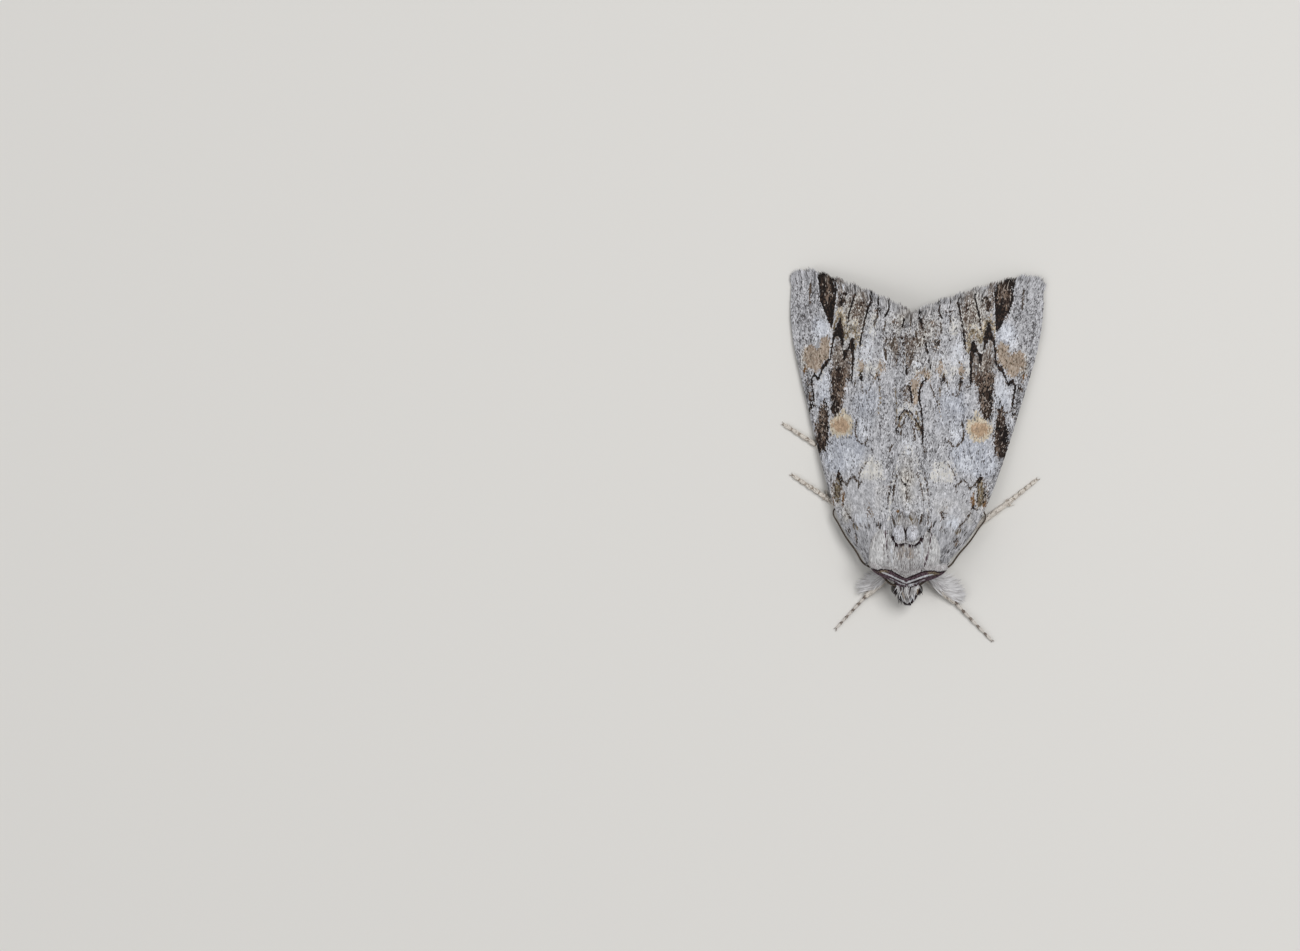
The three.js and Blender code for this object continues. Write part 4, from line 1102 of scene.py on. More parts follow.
def grow(name, skin, cover, lie, unwrap, material, slot, size=1.0, facing=None, **amounts):
    """Grows a coat and settles it as a plain mesh. Cover, lie, size and facing are of the skin's points."""
    mesh = skin.copy()
    set_values(mesh, "cover", np.asarray(cover, float))
    set_values(mesh, "lie", lie)
    set_values(mesh, "facing", normals_of(mesh) if facing is None else facing)
    set_values(mesh, "size", np.broadcast_to(size, len(mesh.vertices)))
    set_values(mesh, "root", points_of(mesh))
    coat = run_tree(COAT, mesh, name, dict(COAT_INPUTS, **amounts, Finish=material))
    rest_on_floor(coat)
    give_unwrap(coat, unwrap(coat))
    settle(coat, material, smooth=False)


def round_the_body(coat):
    """The unwrap of the body is like a label round a bottle: the angle, and the length along y."""
    root = vectors(coat, "root")
    return np.stack([np.arctan2(root[:, 0], root[:, 2] - BODY_AXIS), root[:, 1]], 1)


def over_the_wing(coat):
    """The unwrap of a wing: its own rows and columns, the underside beside the upper side."""
    beside = 1.1 * (numbers(coat, "below") > 0.5)
    return np.stack([numbers(coat, "across") + beside, numbers(coat, "along")], 1)


print("coats can be grown")

# %% [markdown]
# ## Scales that stand free
# Most scales lie flat, and the mosaic is enough for them. A part of them lifts a little from the wing,
# and at the outer margin long ones stand in a fringe. These are grown as small blades that point to
# the margin, in the colours of the spot they grow on.

# %% Wing coats
def wing_coats(side, name, mesh, material, slot):
    """On a forewing scales and a hairy shoulder, and on every wing the fringe at the outer margin."""
    share, across = numbers(mesh, "along"), numbers(mesh, "across")
    above = numbers(mesh, "below") < 0.5
    fan = np.stack([side * (0.1 + 0.25 * across), np.ones(share.size), np.zeros(share.size)], 1)
    lie = tangent(normals_of(mesh), fan)
    look = (over_the_wing, material, slot)
    if name.startswith("fore"):
        inner = above & (share < 0.985) & (np.abs(numbers(mesh, "black")) > 0.16)
        grow(f"{name}_scales", mesh, inner, lie, *look, Seed=20 + side, Segments=2,
             Spacing=0.19, Length=0.34, Width=0.13, Thickness=0.03, Lift=0.1, Curl=0.1, Disorder=0.3)
        shoulder = smoothstep(-points_of(mesh)[:, 1], 8.4, 10.5) * (above & (share < 0.6))
        grow(f"{name}_shoulder", mesh, shoulder, lie, *look, size=0.5 + 0.5 * shoulder, Seed=25 + side,
             Spacing=0.17, Length=0.95, Width=0.13, Thickness=0.05, Lift=0.14, Curl=0.12)
    fringe_skin = mesh.copy()
    set_values(fringe_skin, "below", np.zeros(share.size))
    level = np.array([(0, 0, 1.0)] * share.size)
    along_wing = fan + np.array((0, 0, -0.12))
    grow(f"{name}_fringe", fringe_skin, (share > 0.98) & above, along_wing, *look, facing=level,
         Seed=30 + side, Spacing=0.06, Length=0.85, Width=0.1, Thickness=0.04, Lift=0.02, Curl=0.08,
         Disorder=0.14)


WING_KINDS = (("forewing", forewing_meshes, wing_material, "wing_scales"),
              ("hindwing", hindwing_meshes, hind_material, "hindwing_scales"))
for side, side_name in SIDES:
    for kind, meshes, material, slot in WING_KINDS:
        wing_coats(side, f"{kind}_{side_name}", meshes[side_name], material, slot)
    for kind, meshes, material, slot in WING_KINDS:
        settle(meshes[side_name], material, [f"{kind}_{side_name}"])
print("wings settled")

# %% [markdown]
# ## The body's skin
# Thorax, collar, head and abdomen are one soft form. Overlapping ovals are laid into one another, a
# voxel remesh melts them into a single closed surface, and a little smoothing takes out the creases.
# It stays a coat's depth inside the solids, because the hair-like scales come on top.

# %% Ovals melted into a skin
class Lump:
    """Closed ovals and tapered tubes gathered in one list, to be melted together."""

    def __init__(self):
        self.points = []
        self.faces = []
        self.count = 0

    def rings(self, rings):
        """Closes a row of rings of points, each ring as an array, into one form with pointed ends."""
        sides = len(rings[0])
        first = self.count
        self.points += [*rings, np.array([rings[0].mean(0), rings[-1].mean(0)])]
        around = np.arange(sides)
        beside = (around + 1) % sides
        for row in range(len(rings) - 1):
            a, b = first + row * sides, first + (row + 1) * sides
            self.faces += np.stack([a + around, a + beside, b + beside, b + around], 1).tolist()
        last = first + (len(rings) - 1) * sides
        tip = last + sides
        self.faces += np.stack([np.full(sides, tip), first + beside, first + around], 1).tolist()
        self.faces += np.stack([np.full(sides, tip + 1), last + around, last + beside], 1).tolist()
        self.count = tip + 2

    def oval(self, center, radii, lean=0.0, turn=0.0, sides=24):
        matrix = np.array(Euler((0, lean, turn), "XYZ").to_matrix())
        circle = np.linspace(0, 2 * math.pi, sides, endpoint=False)
        rings = []
        for tilt in np.linspace(0.05, math.pi - 0.05, sides // 2 + 1):
            flat = np.sin(tilt) * np.stack([np.cos(circle), -np.sin(circle)], 1)
            ring = np.c_[flat, np.full(sides, np.cos(tilt))]
            rings.append(ring * radii @ matrix.T + center)
        self.rings(rings)

    def tube(self, path, radii, sides=14):
        """A tube of round sections; its ends are rounded off."""
        path, radii = np.array(path, float), np.array(radii, float)
        rings = []
        ways = np.gradient(path, axis=0)
        for place, way, radius in zip(path, ways, radii):
            way = way / np.linalg.norm(way)
            beside = np.cross(way, (0, 0, 1))
            beside = beside / np.linalg.norm(beside)
            upward = np.cross(beside, way)
            turn = np.linspace(0, 2 * math.pi, sides, endpoint=False)[:, None]
            rings.append(place + radius * (beside * np.cos(turn) + upward * np.sin(turn)))
        first, last = ways[0] / np.linalg.norm(ways[0]), ways[-1] / np.linalg.norm(ways[-1])
        rings.insert(0, path[0] + (rings[0] - path[0]) * 0.4 - first * radii[0] * 0.8)
        rings.append(path[-1] + (rings[-1] - path[-1]) * 0.4 + last * radii[-1] * 0.8)
        self.rings(rings)

    def melted(self, name, voxel, smoothing):
        """One closed surface from all the forms."""
        rough = bpy.data.meshes.new(name + "_rough")
        rough.from_pydata(np.concatenate(self.points).tolist(), [], self.faces)
        thing = link(bpy.data.objects.new(name, rough))
        remesh = thing.modifiers.new("melt", "REMESH")
        remesh.mode = "VOXEL"
        remesh.voxel_size = voxel
        soften = thing.modifiers.new("soften", "SMOOTH")
        soften.factor = 0.5
        soften.iterations = smoothing
        return plain(thing, name)


def between(first, last, share):
    """Points on the straight line from the first place to the last."""
    share = np.asarray(share, float)[:, None]
    return np.array(first) * (1 - share) + np.array(last) * share


body_lump = Lump()
for center, radii in (((0, -12.5, 5.1), (3.7, 3.8, 2.95)), ((0, -11.5, 3.6), (3.2, 3.6, 1.9)),
                      ((0.1, -14.4, 5.0), (3.4, 1.7, 1.65)), ((0.2, -15.8, 4.3), (1.9, 1.3, 1.7)),
                      ((0.35, -17.3, 3.8), (1.45, 1.4, 1.5)), ((0.35, -18.55, 3.5), (0.6, 0.92, 0.7))):
    body_lump.oval(center, radii)
FRONT_SHIFT = 0.3
CREST_PAD = (0.82, -10.3, 7.98)
for side in (1, -1):
    body_lump.oval((FRONT_SHIFT + side * CREST_PAD[0], *CREST_PAD[1:]), (0.74, 0.87, 0.62))
    body_lump.oval((FRONT_SHIFT + side * 0.7, -9.45, 7.45), (0.68, 1.55, 0.85))
    body_lump.oval((side * 3.2, -12.7, 6.35), (1.5, 2.7, 0.6), side * 0.72, side * 0.1)
    body_lump.oval((0.45 + side * 2.35, -15.25, 5.0), (2.7, 0.95, 1.55), turn=side * 0.33)
    body_lump.oval((0.35 + side * 0.95, -17.2, 4.35), (0.65, 0.9, 0.5))
    palp = between((side * 0.72, -17.8, 2.3), (0.3 + side * 0.24, -19.4, 3.05), np.linspace(0, 1, 5))
    body_lump.tube(palp, (0.34, 0.4, 0.36, 0.25, 0.15))
abdomen_half = fair([(-8.6, 1.9), (-7, 2.7), (-4, 3.1), (0, 3.05), (4, 2.75), (8, 2.2), (11, 1.4),
                     (12.3, 0.7)])
SEGMENT = 2.95
BELLY = 0.72
for y in np.arange(-9.4, 12.0, 0.42):
    share = max((y + 8.6) / 20.9, 0)
    top = float(ridge_height(y)) - 3.65 - 0.3 * share
    half = (top - BELLY) / 2
    swell = 1 + 0.04 * math.cos((y + 9.4) * 2 * math.pi / SEGMENT)
    wide = float(abdomen_half(y)) - 0.2
    body_lump.oval((0, y, BELLY + half), (wide * swell, 0.9, half * swell), sides=20)
body = body_lump.melted("body_skin", 0.13, 10)


def eye_place(side):
    """An eye sits a little under the hair of the brow."""
    return np.array((0.2 + side * (EYE_CENTER[0] - 0.2), EYE_CENTER[1] + 0.4, EYE_CENTER[2] - 0.1))


print("body skin points:", len(body.vertices))

# %% [markdown]
# ## Marks of the body
# The thorax is pale grey with a thin brown edge along each shoulder plate. The collar is a dark
# purplish-brown bow with two fine white lines. A few black strokes are painted shade: under and between
# the crest pads, and round the head's lower edge. These are stored on the skin's points as distances,
# like the wing's, and the tufts that grow there carry them along.

# %% Body marks
BODY_MARKS = {
    "cream": {"ovals": [(3.6, -12.6, 1.1, 2.1), (4.5, -13.6, 1, 1.3), (1.75, -13.2, 0.3, 1.5)],
        "strokes": [(0.1, [(1.9, -15), (0, -15.75)]), (0.2, [(1.2, -17.1), (0.6, -17.9), (0.1, -18.4)])]},
    "tan": {"ovals": [(0.5, -12.9, 0.5, 1)],
        "strokes": [(0.14, [(0.4, -12.2), (0.5, -14)]),
        (0.12, [(2.9, -16.25), (2.3, -16.75), (1.6, -17.1)]), (0.1, [(0.8, -17.4), (0, -18.1)])]},
    "brown": {"patches": [[(5, -14.85), (3.9, -15.1), (3.4, -14.95), (2.5, -14.97), (1.9, -15.12),
         (1, -15.55), (0, -15.95), (-0.3, -17.05), (0.7, -16.97), (1.7, -16.6), (2.4, -16.2), (3.1, -15.85),
         (3.9, -15.5), (4.8, -15.2)]],
        "strokes": [(0.11, [(3.6, -9.2), (3.1, -10.2), (2.85, -11.2)]),
        (0.055, [(3.7, -9.1), (3.2, -9.9), (2.85, -11), (2.7, -12.2), (2.5, -13.4), (2.3, -14.5)])]},
    "olive": {"ovals": [(3.2, -15.25, 0.7, 0.22)],
        "strokes": [(0.1, [(2.9, -16.2), (1.9, -16.9), (1.2, -17.4)]), (0.13, [(0.95, -9.2), (0.6, -8.5)]),
        (0.1, [(1.6, -9.4), (1.4, -8.8)])]},
    "white": {"strokes": [(0.1, [(3.4, -15.32), (2.1, -15.7), (1.15, -16.12), (0, -16.5)]),
        (0.08, [(2.4, -16.02), (1.7, -16.3), (0.9, -16.6), (0, -16.82)]),
        (0.13, [(1.9, -11.4), (1.95, -13), (1.75, -14.6)])],
        "ovals": [(0.75, -18.2, 0.2, 0.5)]},
    "black": {"strokes": [(0.09, [(5, -14.85), (3.9, -15.12), (3.4, -14.97), (2.5, -15), (1.9, -15.15),
         (1, -15.6), (0, -16)]), (0.06, [(1.9, -14.8), (1.9, -15.2)]),
        (0.05, [(1.9, -15.95), (0.9, -16.4), (0, -16.68)]),
        (0.07, [(2.4, -16.25), (1.7, -16.65), (0.7, -17), (0, -17.1)]),
        # Painted shadow: a wide black stroke at the head side of the crest pads, and a thin one between
        # them.
        (0.24, [(1.9, -10.3), (1.8, -11.35), (1.2, -11.98), (0.55, -11.98), (0, -11.6)]),
        (0.09, [(0, -11.5), (0, -10.4), (0.2, -9.6)]),
        # Painted shadow: a black rim along the head's lower edge, for the shade in the gap under it.
        (0.2, [(1.75, -16.9), (1.4, -17.75), (0.8, -18.55), (0.38, -19.1), (0, -19.28)]),
        (0.04, [(0.7, -17.7), (0.4, -18.2), (0, -18.6)])]}}
# The cloud at (0.9, -12) is painted shade: a band of dark scales under the head side of the crest pads.
BODY_CLOUDS = [(4.1, -14.1, 1.3, 0.9, -0.3), (2.3, -14.3, 0.8, 0.7, -0.14), (1.9, -9, 0.5, 1, 0.5),
    (0.9, -12, 1.2, 0.3, 0.5), (2.7, -11.5, 0.25, 2.2, 0.3), (0, -13.4, 1.8, 1.6, 0.14),
    (0, -17.7, 0.9, 0.6, 0.1), (1.3, -18.2, 0.3, 0.8, 0.15), (0.5, -8.8, 0.3, 0.6, 0.3)]
points, normals = points_of(body), normals_of(body)
x, y, z = points.T
out = np.sign(x)
from_middle = x - FRONT_SHIFT * smoothstep(-y, 8.0, 10.0)
from_middle = np.where(from_middle > 0, from_middle * 0.96, -from_middle * 1.12)
above = z > np.where(y < -16, 2.6, 4.2)
front = np.maximum.reduce([3.1 - z, -17.4 - y, y + 15.1 + (5 - from_middle) * 0.28, 1.5 - from_middle])
steep = 0.06 * smoothstep(-normals[:, 2], -0.6, -0.2) * (y < -15)
for key, marks in BODY_MARKS.items():
    apart = np.where(above, distances(from_middle, y, marks), 2.0)
    if key == "brown":
        apart = np.minimum(apart, front)
    elif key != "black":
        apart = np.maximum(apart, -0.4 - np.maximum(front, z - 4.9)) + steep
    set_values(body, key, apart)
hind_part = 0.25 * smoothstep(y, -9.0, -7.5) + 0.12 * smoothstep(-z, -4.0, -2.0)
set_values(body, "cloud", 0.12 + hind_part + clouds(from_middle, y, BODY_CLOUDS) * above)
print("strokes on the body:", sum(len(marks.get("strokes", [])) for marks in BODY_MARKS.values()))

# %% Hair colours
FUR_WHITE = paint(228, 228, 228)
PLUM, PLUM_PALE = paint(64, 46, 53), paint(126, 106, 116)


def to_tip(start):
    """0 at a tuft's root and 1 from six tenths of its length on."""
    return stored(start, "blade", "Vector").part(2).rise(0.0, 0.6)


def fur_material(name, pale, mid, dusk, root=0.7):
    """The same marks for skin and tufts. A tuft has a tone of its own; its root and the bare skin are
    painted darker, as shade deep in the coat.
    """
    material, start = new_material(name, pale)
    lot, tone, third, _, fine, slow = mosaic(start)
    grey = tone.rise(0.1, 0.8).blend(mid, pale)
    grey = (lot < stored(start, "cloud") + (slow - 0.5) * 0.4).blend(grey, third.blend(dusk, mid))
    cream = (lot < 0.15).blend(tone.blend(pale, FUR_WHITE), grey)
    tan = (lot < 0.35).blend(tone.blend(mid, TAN_PALE), grey)
    plum = tone.rise(0.2, 1.0).blend(PLUM, PLUM_PALE)
    olive = tone.blend(OLIVE, OLIVE_PALE)
    white = tone.blend(pale, WHITE)
    black = tone.blend(BLACK, PLUM)
    color = marked(start, grey, lot, fine, {
        "cream": (cream, 1.2, 0.9), "tan": (tan, 0.5, 0.6), "brown": (plum, 0.1, 0.1),
        "olive": (olive, 0.2, 0.2), "white": (white, 0.05, 0.06), "black": (black, 0.05, 0.06)})
    # Painted shade: tuft roots, and the skin that has no tip at all, are darkened to the root share.
    color = shaded(start, color, root + to_tip(start) * (1 - root))
    finish_material(start, grained(start, color), 0.7 + third * 0.2, fine, SCALE_RELIEF, specular=0.2)
    return material


body_fur = fur_material("body_fur", paint(216, 215, 216), paint(170, 167, 167), paint(106, 98, 95))
collar_fur = fur_material("collar_fur", paint(206, 201, 202), paint(160, 152, 153), paint(90, 78, 80), 0.8)
abdomen_fur = fur_material("abdomen_fur", paint(172, 164, 154), paint(132, 122, 112), paint(96, 87, 80))
crest_fur = fur_material("crest_fur", paint(236, 237, 243), paint(198, 198, 204), paint(140, 134, 136),
                         0.75)
print("fur materials: 4")

# %% Coats of the body
shoulder = smoothstep(np.abs(x), 2.2, 3.2) * (y > -15) * (y < -9)
back = np.stack([0.25 * out * shoulder, np.ones(x.size), np.zeros(x.size)], 1)
back[(y > -9.6) & (z > 6.6)] = (0, 1, -0.5)
on_head = y < -16.4
back[on_head] = (0, -1, -0.35)
lie = tangent(normals, back)
on_top = (z > 4.4) & (y > -16.2) & (y < -8.3)
on_band = (np.abs(y + 15.9 - 0.18 * np.abs(x)) < 0.9) & (z > 4.2)
off_eye = np.ones(x.size, bool)
for side in (1, -1):
    off_eye &= np.linalg.norm(points - eye_place(side), axis=1) > 0.7
from_pad = np.hypot((np.abs(x - FRONT_SHIFT) - CREST_PAD[0]) / 0.8, (y - CREST_PAD[1]) / 0.96)
on_pad = (from_pad < 1) & (z > CREST_PAD[2] - 0.35)
free = numbers(body, "black") > 0.1
lines = np.minimum(np.abs(numbers(body, "white")), np.abs(numbers(body, "black")))
on_side = (y < -8.0) & (y > -18.6) & ~on_top & ~on_band & off_eye & (z > 0.9)
fur_look = (round_the_body, body_fur, "body_fur")
grow("coat_thorax", body, on_top & ~on_band & ~on_pad & free, lie, *fur_look, Seed=11,
     Spacing=0.13, Length=0.6, Width=0.11, Thickness=0.05, Lift=0.16, Curl=0.1, Disorder=0.22)
grow("coat_collar", body, on_band & (lines > 0.03), lie, round_the_body, collar_fur, "collar_fur", Seed=12,
     Spacing=0.08, Length=0.16, Width=0.05, Thickness=0.025, Lift=0.12, Curl=0.1, Disorder=0.2)
grow("coat_head", body, on_head & off_eye & (z > 2.0), lie, *fur_look, Seed=13,
     size=1 - 0.5 * smoothstep(-y, 18.0, 19.0),
     Spacing=0.07, Length=0.22, Width=0.06, Thickness=0.03, Lift=0.12, Curl=0.1, Disorder=0.14)
grow("coat_sides", body, on_side, lie, *fur_look, Seed=14,
     Spacing=0.25, Length=0.95, Width=0.17, Lift=0.35, Curl=0.25, Disorder=0.5)
grow("coat_abdomen", body, (y >= -8.0) & (z > 0.75), lie, round_the_body, abdomen_fur, "abdomen_fur",
     Seed=15, Spacing=0.29, Length=0.8, Width=0.18, Lift=0.18, Curl=0.1)
print("coats on the body: 5")

# %% [markdown]
# ## The crest
# At the back of the thorax lie two soft pads of scales that lean towards the head and hang over a
# little there. Small ovals of the skin carry them, and the pads themselves are close short hair.

# %% Crest
to_head = tangent(normals, np.stack([0.15 * out, -np.ones(x.size), np.zeros(x.size)], 1))
grow("crest", body, on_pad & free, to_head, round_the_body, crest_fur, "body_fur",
     Seed=16, Spacing=0.07, Length=0.4, Width=0.1, Thickness=0.05, Lift=0.42, Curl=0.35, Disorder=0.4)
settle(body, body_fur, ["thorax", "collar", "head", "abdomen", "palp_left", "palp_right"])
print("body settled")

# %% [markdown]
# ## Legs
# A leg has a thick thigh, a shin, and a foot of five short joints with two claws. The middle and hind
# shins have spurs. Tapered tubes are melted together, so that the joints look grown. The feet of the
# forelegs are banded dark and white. Distances along a leg are stored for those bands.

# %% Leg meshes
LEGS = {
    "foreleg_left": [(1.6, -13.4, 3.2), (2.8, -16.3, 1.5), (5.9, -18.8, 0.6), (10.6, -23.4)],
    "foreleg_right": [(-1.6, -13.4, 3.2), (-2.6, -16.2, 1.5), (-5.2, -18.4, 0.6), (-8.8, -22.5)],
    "midleg_left": [(2.0, -11.6, 3.0), (6.4, -10.7, 0.9), (12.1, -6.3, 0.45), (15.6, -3.3)],
    "midleg_right": [(-1.9, -11.6, 3.0), (-5.6, -9.6, 0.9), (-10.6, -6.3, 0.45), (-14.9, -3.7)],
    "hindleg_left": [(1.7, -10.4, 3.0), (4.9, -4.2, 0.9), (8.7, 2.0, 0.45), (11.3, 7.4)],
    "hindleg_right": [(-1.7, -10.4, 3.0), (-5.0, -4.3, 0.9), (-11.0, -0.4, 0.45), (-16.2, 2.65)]}
FOOT_LEVEL = 0.24
FOOT_JOINTS = 5
SPUR_PLACES = {"foreleg": [], "midleg": [0.92], "hindleg": [0.6, 0.92]}
SPUR_LENGTH = 1.4


def leg_places(name):
    """Hip, knee, ankle and claws of a leg."""
    hip, knee, ankle, claw = LEGS[name]
    return [np.array(place, float) for place in (hip, knee, ankle, (*claw, FOOT_LEVEL))]


def leg_tubes(lump, name):
    hip, knee, ankle, claw = leg_places(name)
    share = np.linspace(0, 1, 13)
    lump.tube(between(hip, knee, share), 0.3 + 0.2 * np.sin(math.pi * share ** 0.8))
    lump.tube(between(knee, ankle, share), 0.25 + 0.08 * np.sin(math.pi * share) + 0.03 * share)
    share = np.linspace(0, 1, 41)
    steps = np.abs(np.sin(math.pi * FOOT_JOINTS * share)) ** 0.5
    thick = 0.95 if name.startswith("fore") else 1.5
    lump.tube(between(ankle, claw, share), thick * (0.14 + 0.08 * steps) * (1 - 0.25 * share), sides=10)
    way = (claw - ankle) / np.linalg.norm(claw - ankle)
    shin = (ankle - knee) / np.linalg.norm(ankle - knee)
    beside, beside_shin = np.cross(way, (0, 0, 1)), np.cross(shin, (0, 0, 1))
    for turn in (-1, 1):
        bend = claw + 0.22 * way + turn * 0.14 * beside
        point = claw + 0.38 * way + turn * 0.2 * beside - (0, 0, 0.08)
        lump.tube([claw, bend, point], (0.08, 0.06, 0.03), sides=8)
        for place in SPUR_PLACES[name.split("_")[0]]:
            root = knee + (ankle - knee) * place
            length = SPUR_LENGTH if turn > 0 else SPUR_LENGTH * 0.7
            point = root + length * (shin * 0.85 + turn * 0.5 * beside_shin)
            lump.tube(between(root, point, (0, 0.4, 0.8, 1)), (0.11, 0.1, 0.07, 0.03), sides=8)


def mark_legs(mesh):
    """How far along its leg a point lies: 0 to 1 thigh, 1 to 2 shin, 2 to 3 foot; and if it's a foreleg."""
    spots = points_of(mesh)
    best = np.full(len(spots), 9.0)
    along, fore, way = np.zeros(len(spots)), np.zeros(len(spots)), np.zeros(spots.shape)
    for name in LEGS:
        places = leg_places(name)
        for part, (first, last) in enumerate(zip(places, places[1:])):
            run = last - first
            share = np.clip((spots - first) @ run / (run @ run), 0, 1)
            apart = np.linalg.norm(spots - first - share[:, None] * run, axis=1)
            near = apart < best
            best[near] = apart[near]
            along[near] = part + share[near]
            fore[near] = name.startswith("fore")
            way[near] = run / np.linalg.norm(run)
    set_values(mesh, "along", along)
    set_values(mesh, "fore", fore)
    return along, fore, way


print("legs:", len(LEGS))

# %% Leg scales
BANDS = 5.0
leg_material, start = new_material("leg_scales", paint(205, 199, 194))
lot, tone, third, dome, fine, _ = mosaic(start)
along, fore = stored(start, "along"), stored(start, "fore")
pale = tone.blend(paint(196, 188, 179), paint(232, 226, 217))
pale = (lot < 0.08).blend(pale, paint(134, 122, 112))
joint = (along * BANDS).fraction()
joint = joint + (lot - 0.5) * 0.2
dark_joint = tone.blend(paint(92, 80, 73), paint(152, 141, 132))
fore_foot = (joint < 0.4).blend(paint(208, 202, 195), dark_joint)
other_foot = (joint < 0.16).blend(pale, paint(150, 137, 124))
feet = fore.rise(0.4, 0.6).blend(other_foot, fore_foot)
color = along.rise(1.97, 2.03).blend(pale, feet)
finish_material(start, color, 0.6 + third * 0.25, dome * -1.0 + fine, SCALE_RELIEF, specular=0.25)
fan_material, start = new_material("fan_hair", paint(206, 204, 204))
tone = stored(start, "shade")
fan_root = tone.blend(paint(158, 153, 151), paint(198, 194, 192))
fan_tip = tone.rise(0.0, 0.7).blend(paint(178, 175, 175), paint(222, 221, 222))
finish_material(start, to_tip(start).blend(fan_root, fan_tip), 0.75, specular=0.2)
lump = Lump()
for name in LEGS:
    leg_tubes(lump, name)
legs = lump.melted("legs_skin", 0.07, 3)
print("leg skin points:", len(legs.vertices))

# %% [markdown]
# ## Hair of the legs
# Shins and thighs carry longer scales. On the forelegs they spread into a ragged pale fan on either
# side, which shows below the collar.

# %% Leg coats
leg_along, leg_fore, leg_way = mark_legs(legs)
leg_normals = normals_of(legs)


def along_the_leg(coat):
    """The unwrap of the legs: the length along a leg, and legs side by side."""
    root = vectors(coat, "root")
    which = np.arctan2(root[:, 1] + 10, root[:, 0])
    return np.stack([numbers(coat, "along") + root[:, 2] * 0.02, which], 1)


leg_lie = tangent(leg_normals, leg_way)
leg_look = (along_the_leg, leg_material)
on_foot, on_foreleg = leg_along >= 1.95, leg_fore > 0.5
grow("coat_legs", legs, ~on_foot & ~on_foreleg, leg_lie, *leg_look, "leg_scales", Seed=41,
     Spacing=0.17, Length=0.5, Width=0.12, Thickness=0.04, Lift=0.2, Curl=0.1)
grow("coat_feet", legs, on_foot, leg_lie, *leg_look, "foot_scales", Seed=42,
     Spacing=0.14, Length=0.26, Width=0.09, Thickness=0.03, Lift=0.2, Curl=0.1, Segments=2)
grow("coat_foreshins", legs, ~on_foot & on_foreleg, leg_lie, *leg_look, "leg_scales", Seed=44,
     Spacing=0.15, Length=0.5, Width=0.12, Thickness=0.04, Lift=0.25, Curl=0.1)
print("close hair on the legs grown")

# %% [markdown]
# The fan of a foreleg stands off the leg's hind side: from the thigh and shin long hairs spread out
# flat, level with the ground. Each root gets its own direction, between along the leg and across it.

# %% Fans of the forelegs
leg_points = points_of(legs)
leg_side = np.sign(leg_points[:, 0])
behind = np.stack([-leg_way[:, 1] * leg_side, leg_way[:, 0] * leg_side, np.zeros(len(leg_way))], 1)
on_back = (leg_normals * behind).sum(1) > -0.35
x, y, z = leg_points.T
spread = 0.5 + 0.5 * np.sin(x * 9.7) * np.cos(y * 7.3 + z * 5.1)
fan_lie = leg_way * (1.1 - 0.55 * spread)[:, None] + behind * (0.35 + 0.75 * spread)[:, None]
fan_lie += np.array((0, 0, 0.12))
fan_facing = np.array((0, 0, 1.0)) + 0.25 * behind
fan_size = 0.55 + 0.5 * np.sin(math.pi * np.clip((leg_along - 0.5) / 1.5, 0, 1))
fan_size *= np.where(leg_side < 0, 0.95, 1)
fan_end = np.where(leg_side < 0, 1.6, 1.85)
fan = on_foreleg & (leg_along > 0.45) & (leg_along < fan_end) & on_back
grow("coat_forelegs", legs, fan, fan_lie, along_the_leg, fan_material, "leg_scales", Seed=43,
     size=fan_size, facing=fan_facing,
     Spacing=0.062, Length=2.3, Width=0.17, Thickness=0.05, Lift=0.1, Curl=0.06, Disorder=0.25)
leg_nodes = [f"{name}_{part}" for name in LEGS for part in ("femur", "tibia", "tarsus")]
settle(legs, leg_material, leg_nodes)
print("legs settled, replacing", len(leg_nodes), "solids")

# %% [markdown]
# ## Eyes
# An eye of a moth is a ball of thousands of facets. From a step away it looks like dark, polished
# stone, so it gets a smooth fine ball with the facets as bump.

# %% Eyes
EYE_RADIUS = 0.76
FACETS_IN_A_METRE = 16000.0
eye_material, start = new_material("eye", paint(40, 36, 26))
spot = at_place(start)
facets = spot.node("ShaderNodeTexVoronoi", None, {"Vector": spot, "Scale": FACETS_IN_A_METRE}, "Distance")
color = spot.noise(1900.0).rise(0.4, 0.6).blend(paint(24, 21, 15), paint(42, 36, 24))
finish_material(start, color, 0.22 + facets * 0.1, facets * -1.0, 0.000012, specular=0.5, coat=0.3)
for side, side_name in SIDES:
    lump = Lump()
    lump.oval(eye_place(side), (EYE_RADIUS,) * 3, sides=48)
    eye = lump.melted(f"eye_{side_name}_faceted", 0.06, 4)
    settle(eye, eye_material, [f"eye_{side_name}"])
print("eyes settled")

# %% [markdown]
# ## Antennae
# The antennae are threads of a hundred and fifty rings, dark below and a little lighter above. They
# run from the forehead back along the front edge of each wing. A tree sets one ring after another
# along the route, each a little smaller than the last.

# %% Antenna tree
ANTENNA_INPUTS = {"Rings": 150, "Root Radius": 0.15, "Tip Radius": 0.06}
RING_LENGTH = 0.17

route = new_tree("threaded_rings", "Route", ANTENNA_INPUTS, "Antenna")
given = route.also
line = route.node("GeometryNodeMeshToCurve", None, {"Mesh": route}, "Curve")
counted = {"Curve": line, "Count": given("Rings")}
rings = line.node("GeometryNodeCurveToPoints", {"mode": "COUNT"}, counted, "Points")
share = route.node("GeometryNodeInputIndex") / given("Rings")
radius = given("Root Radius") * (1.0 - share) + given("Tip Radius") * share
bead = route.node("GeometryNodeMeshUVSphere", None, {"Segments": 10, "Rings": 6, "Radius": 1.0}, "Mesh")
ANTENNA = set_out(keep(rings, "along", share), bead, rings.also("Rotation"),
                  combined(radius, radius, RING_LENGTH), given("Finish"), "Antenna")
print("the antenna tree has", len(ANTENNA.nodes), "nodes")

# %% Antenna route
BESIDE_EDGE = 0.32


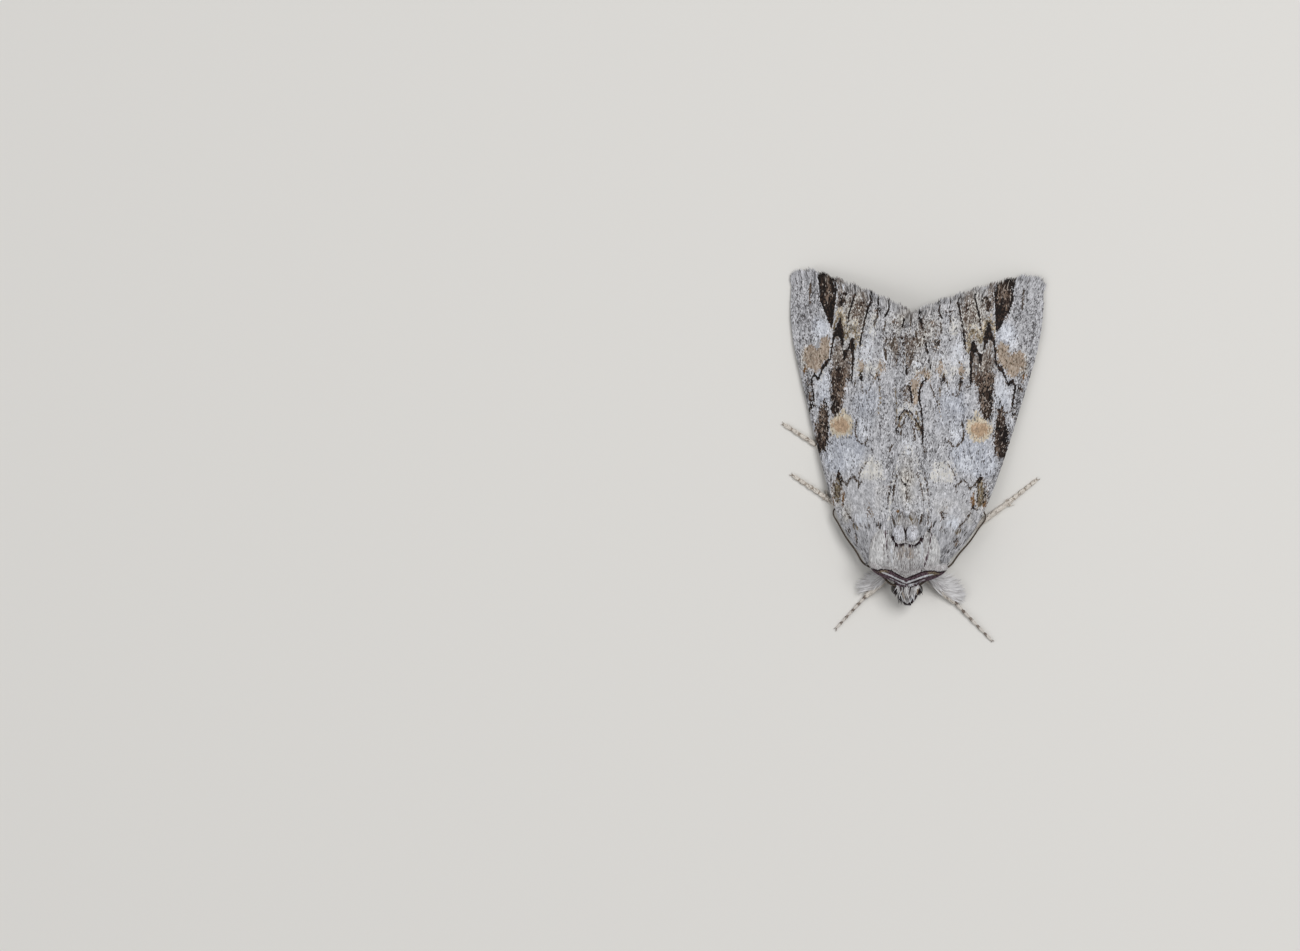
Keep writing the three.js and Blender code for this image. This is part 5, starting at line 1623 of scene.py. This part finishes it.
def beside_edge(y):
    """A point just outside the wing's front edge, near its height."""
    slope = float(half_width(y + 0.1) - half_width(y - 0.1)) / 0.2
    outward = BESIDE_EDGE / math.hypot(1, slope)
    return float(half_width(y)) + outward, y - slope * outward, float(edge_height(y)) - 0.45


ROUTE = [(0.9, -17.0, 4.6), (1.9, -16.7, 4.1), (3.0, -15.8, 3.3), (4.1, -15.0, 3.1)]
ROUTE += [beside_edge(y) for y in (-14.1, -12.6, -11, -9.4)]
ROUTE += [(9.55, -8.2, 1.55), (9.0, -6.7, 1.3), (8.5, -4.2, 1.3), (8.5, 1.6, 1.3)]


def through(places, steps):
    """A smooth line through some places."""
    places = np.array(places, float)
    padded = np.r_[[2 * places[0] - places[1]], places, [2 * places[-1] - places[-2]]]
    u = np.linspace(0, 1, steps, endpoint=False)[:, None]
    line = []
    for a, b, c, d in zip(padded, padded[1:], padded[2:], padded[3:]):
        square, cube = 2 * a - 5 * b + 4 * c - d, 3 * b - a - 3 * c + d
        line.append(0.5 * (2 * b + (c - a) * u + square * u ** 2 + cube * u ** 3))
    return np.concatenate(line + [places[-1:]])


antenna_material, start = new_material("antenna", paint(120, 108, 100))
lot, _, _, _, fine, _ = mosaic(start)
upward = (stored(start, "upward") + (lot - 0.5) * 0.5).rise(0.1, 0.5)
color = upward.blend(paint(36, 29, 25), paint(78, 67, 58))
finish_material(start, color, 0.55 + lot * 0.2, fine, 0.00002)
for side, side_name in SIDES:
    line = through(ROUTE, 12) * (side, 1, 1)
    route = bpy.data.meshes.new("route")
    route.from_pydata(line.tolist(), [(i, i + 1) for i in range(len(line) - 1)], [])
    name = f"antenna_{side_name}_ringed"
    antenna = run_tree(ANTENNA, route, name, dict(ANTENNA_INPUTS, Finish=antenna_material))
    set_values(antenna, "upward", normals_of(antenna)[:, 2])
    settle(antenna, antenna_material, [f"antenna_{side_name}"])
print("antennae settled")

# %% Close
body_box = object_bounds()
for corners in (cad_box, body_box):
    print("box in mm:", [[round(value * 1000, 2) for value in corner] for corner in corners])
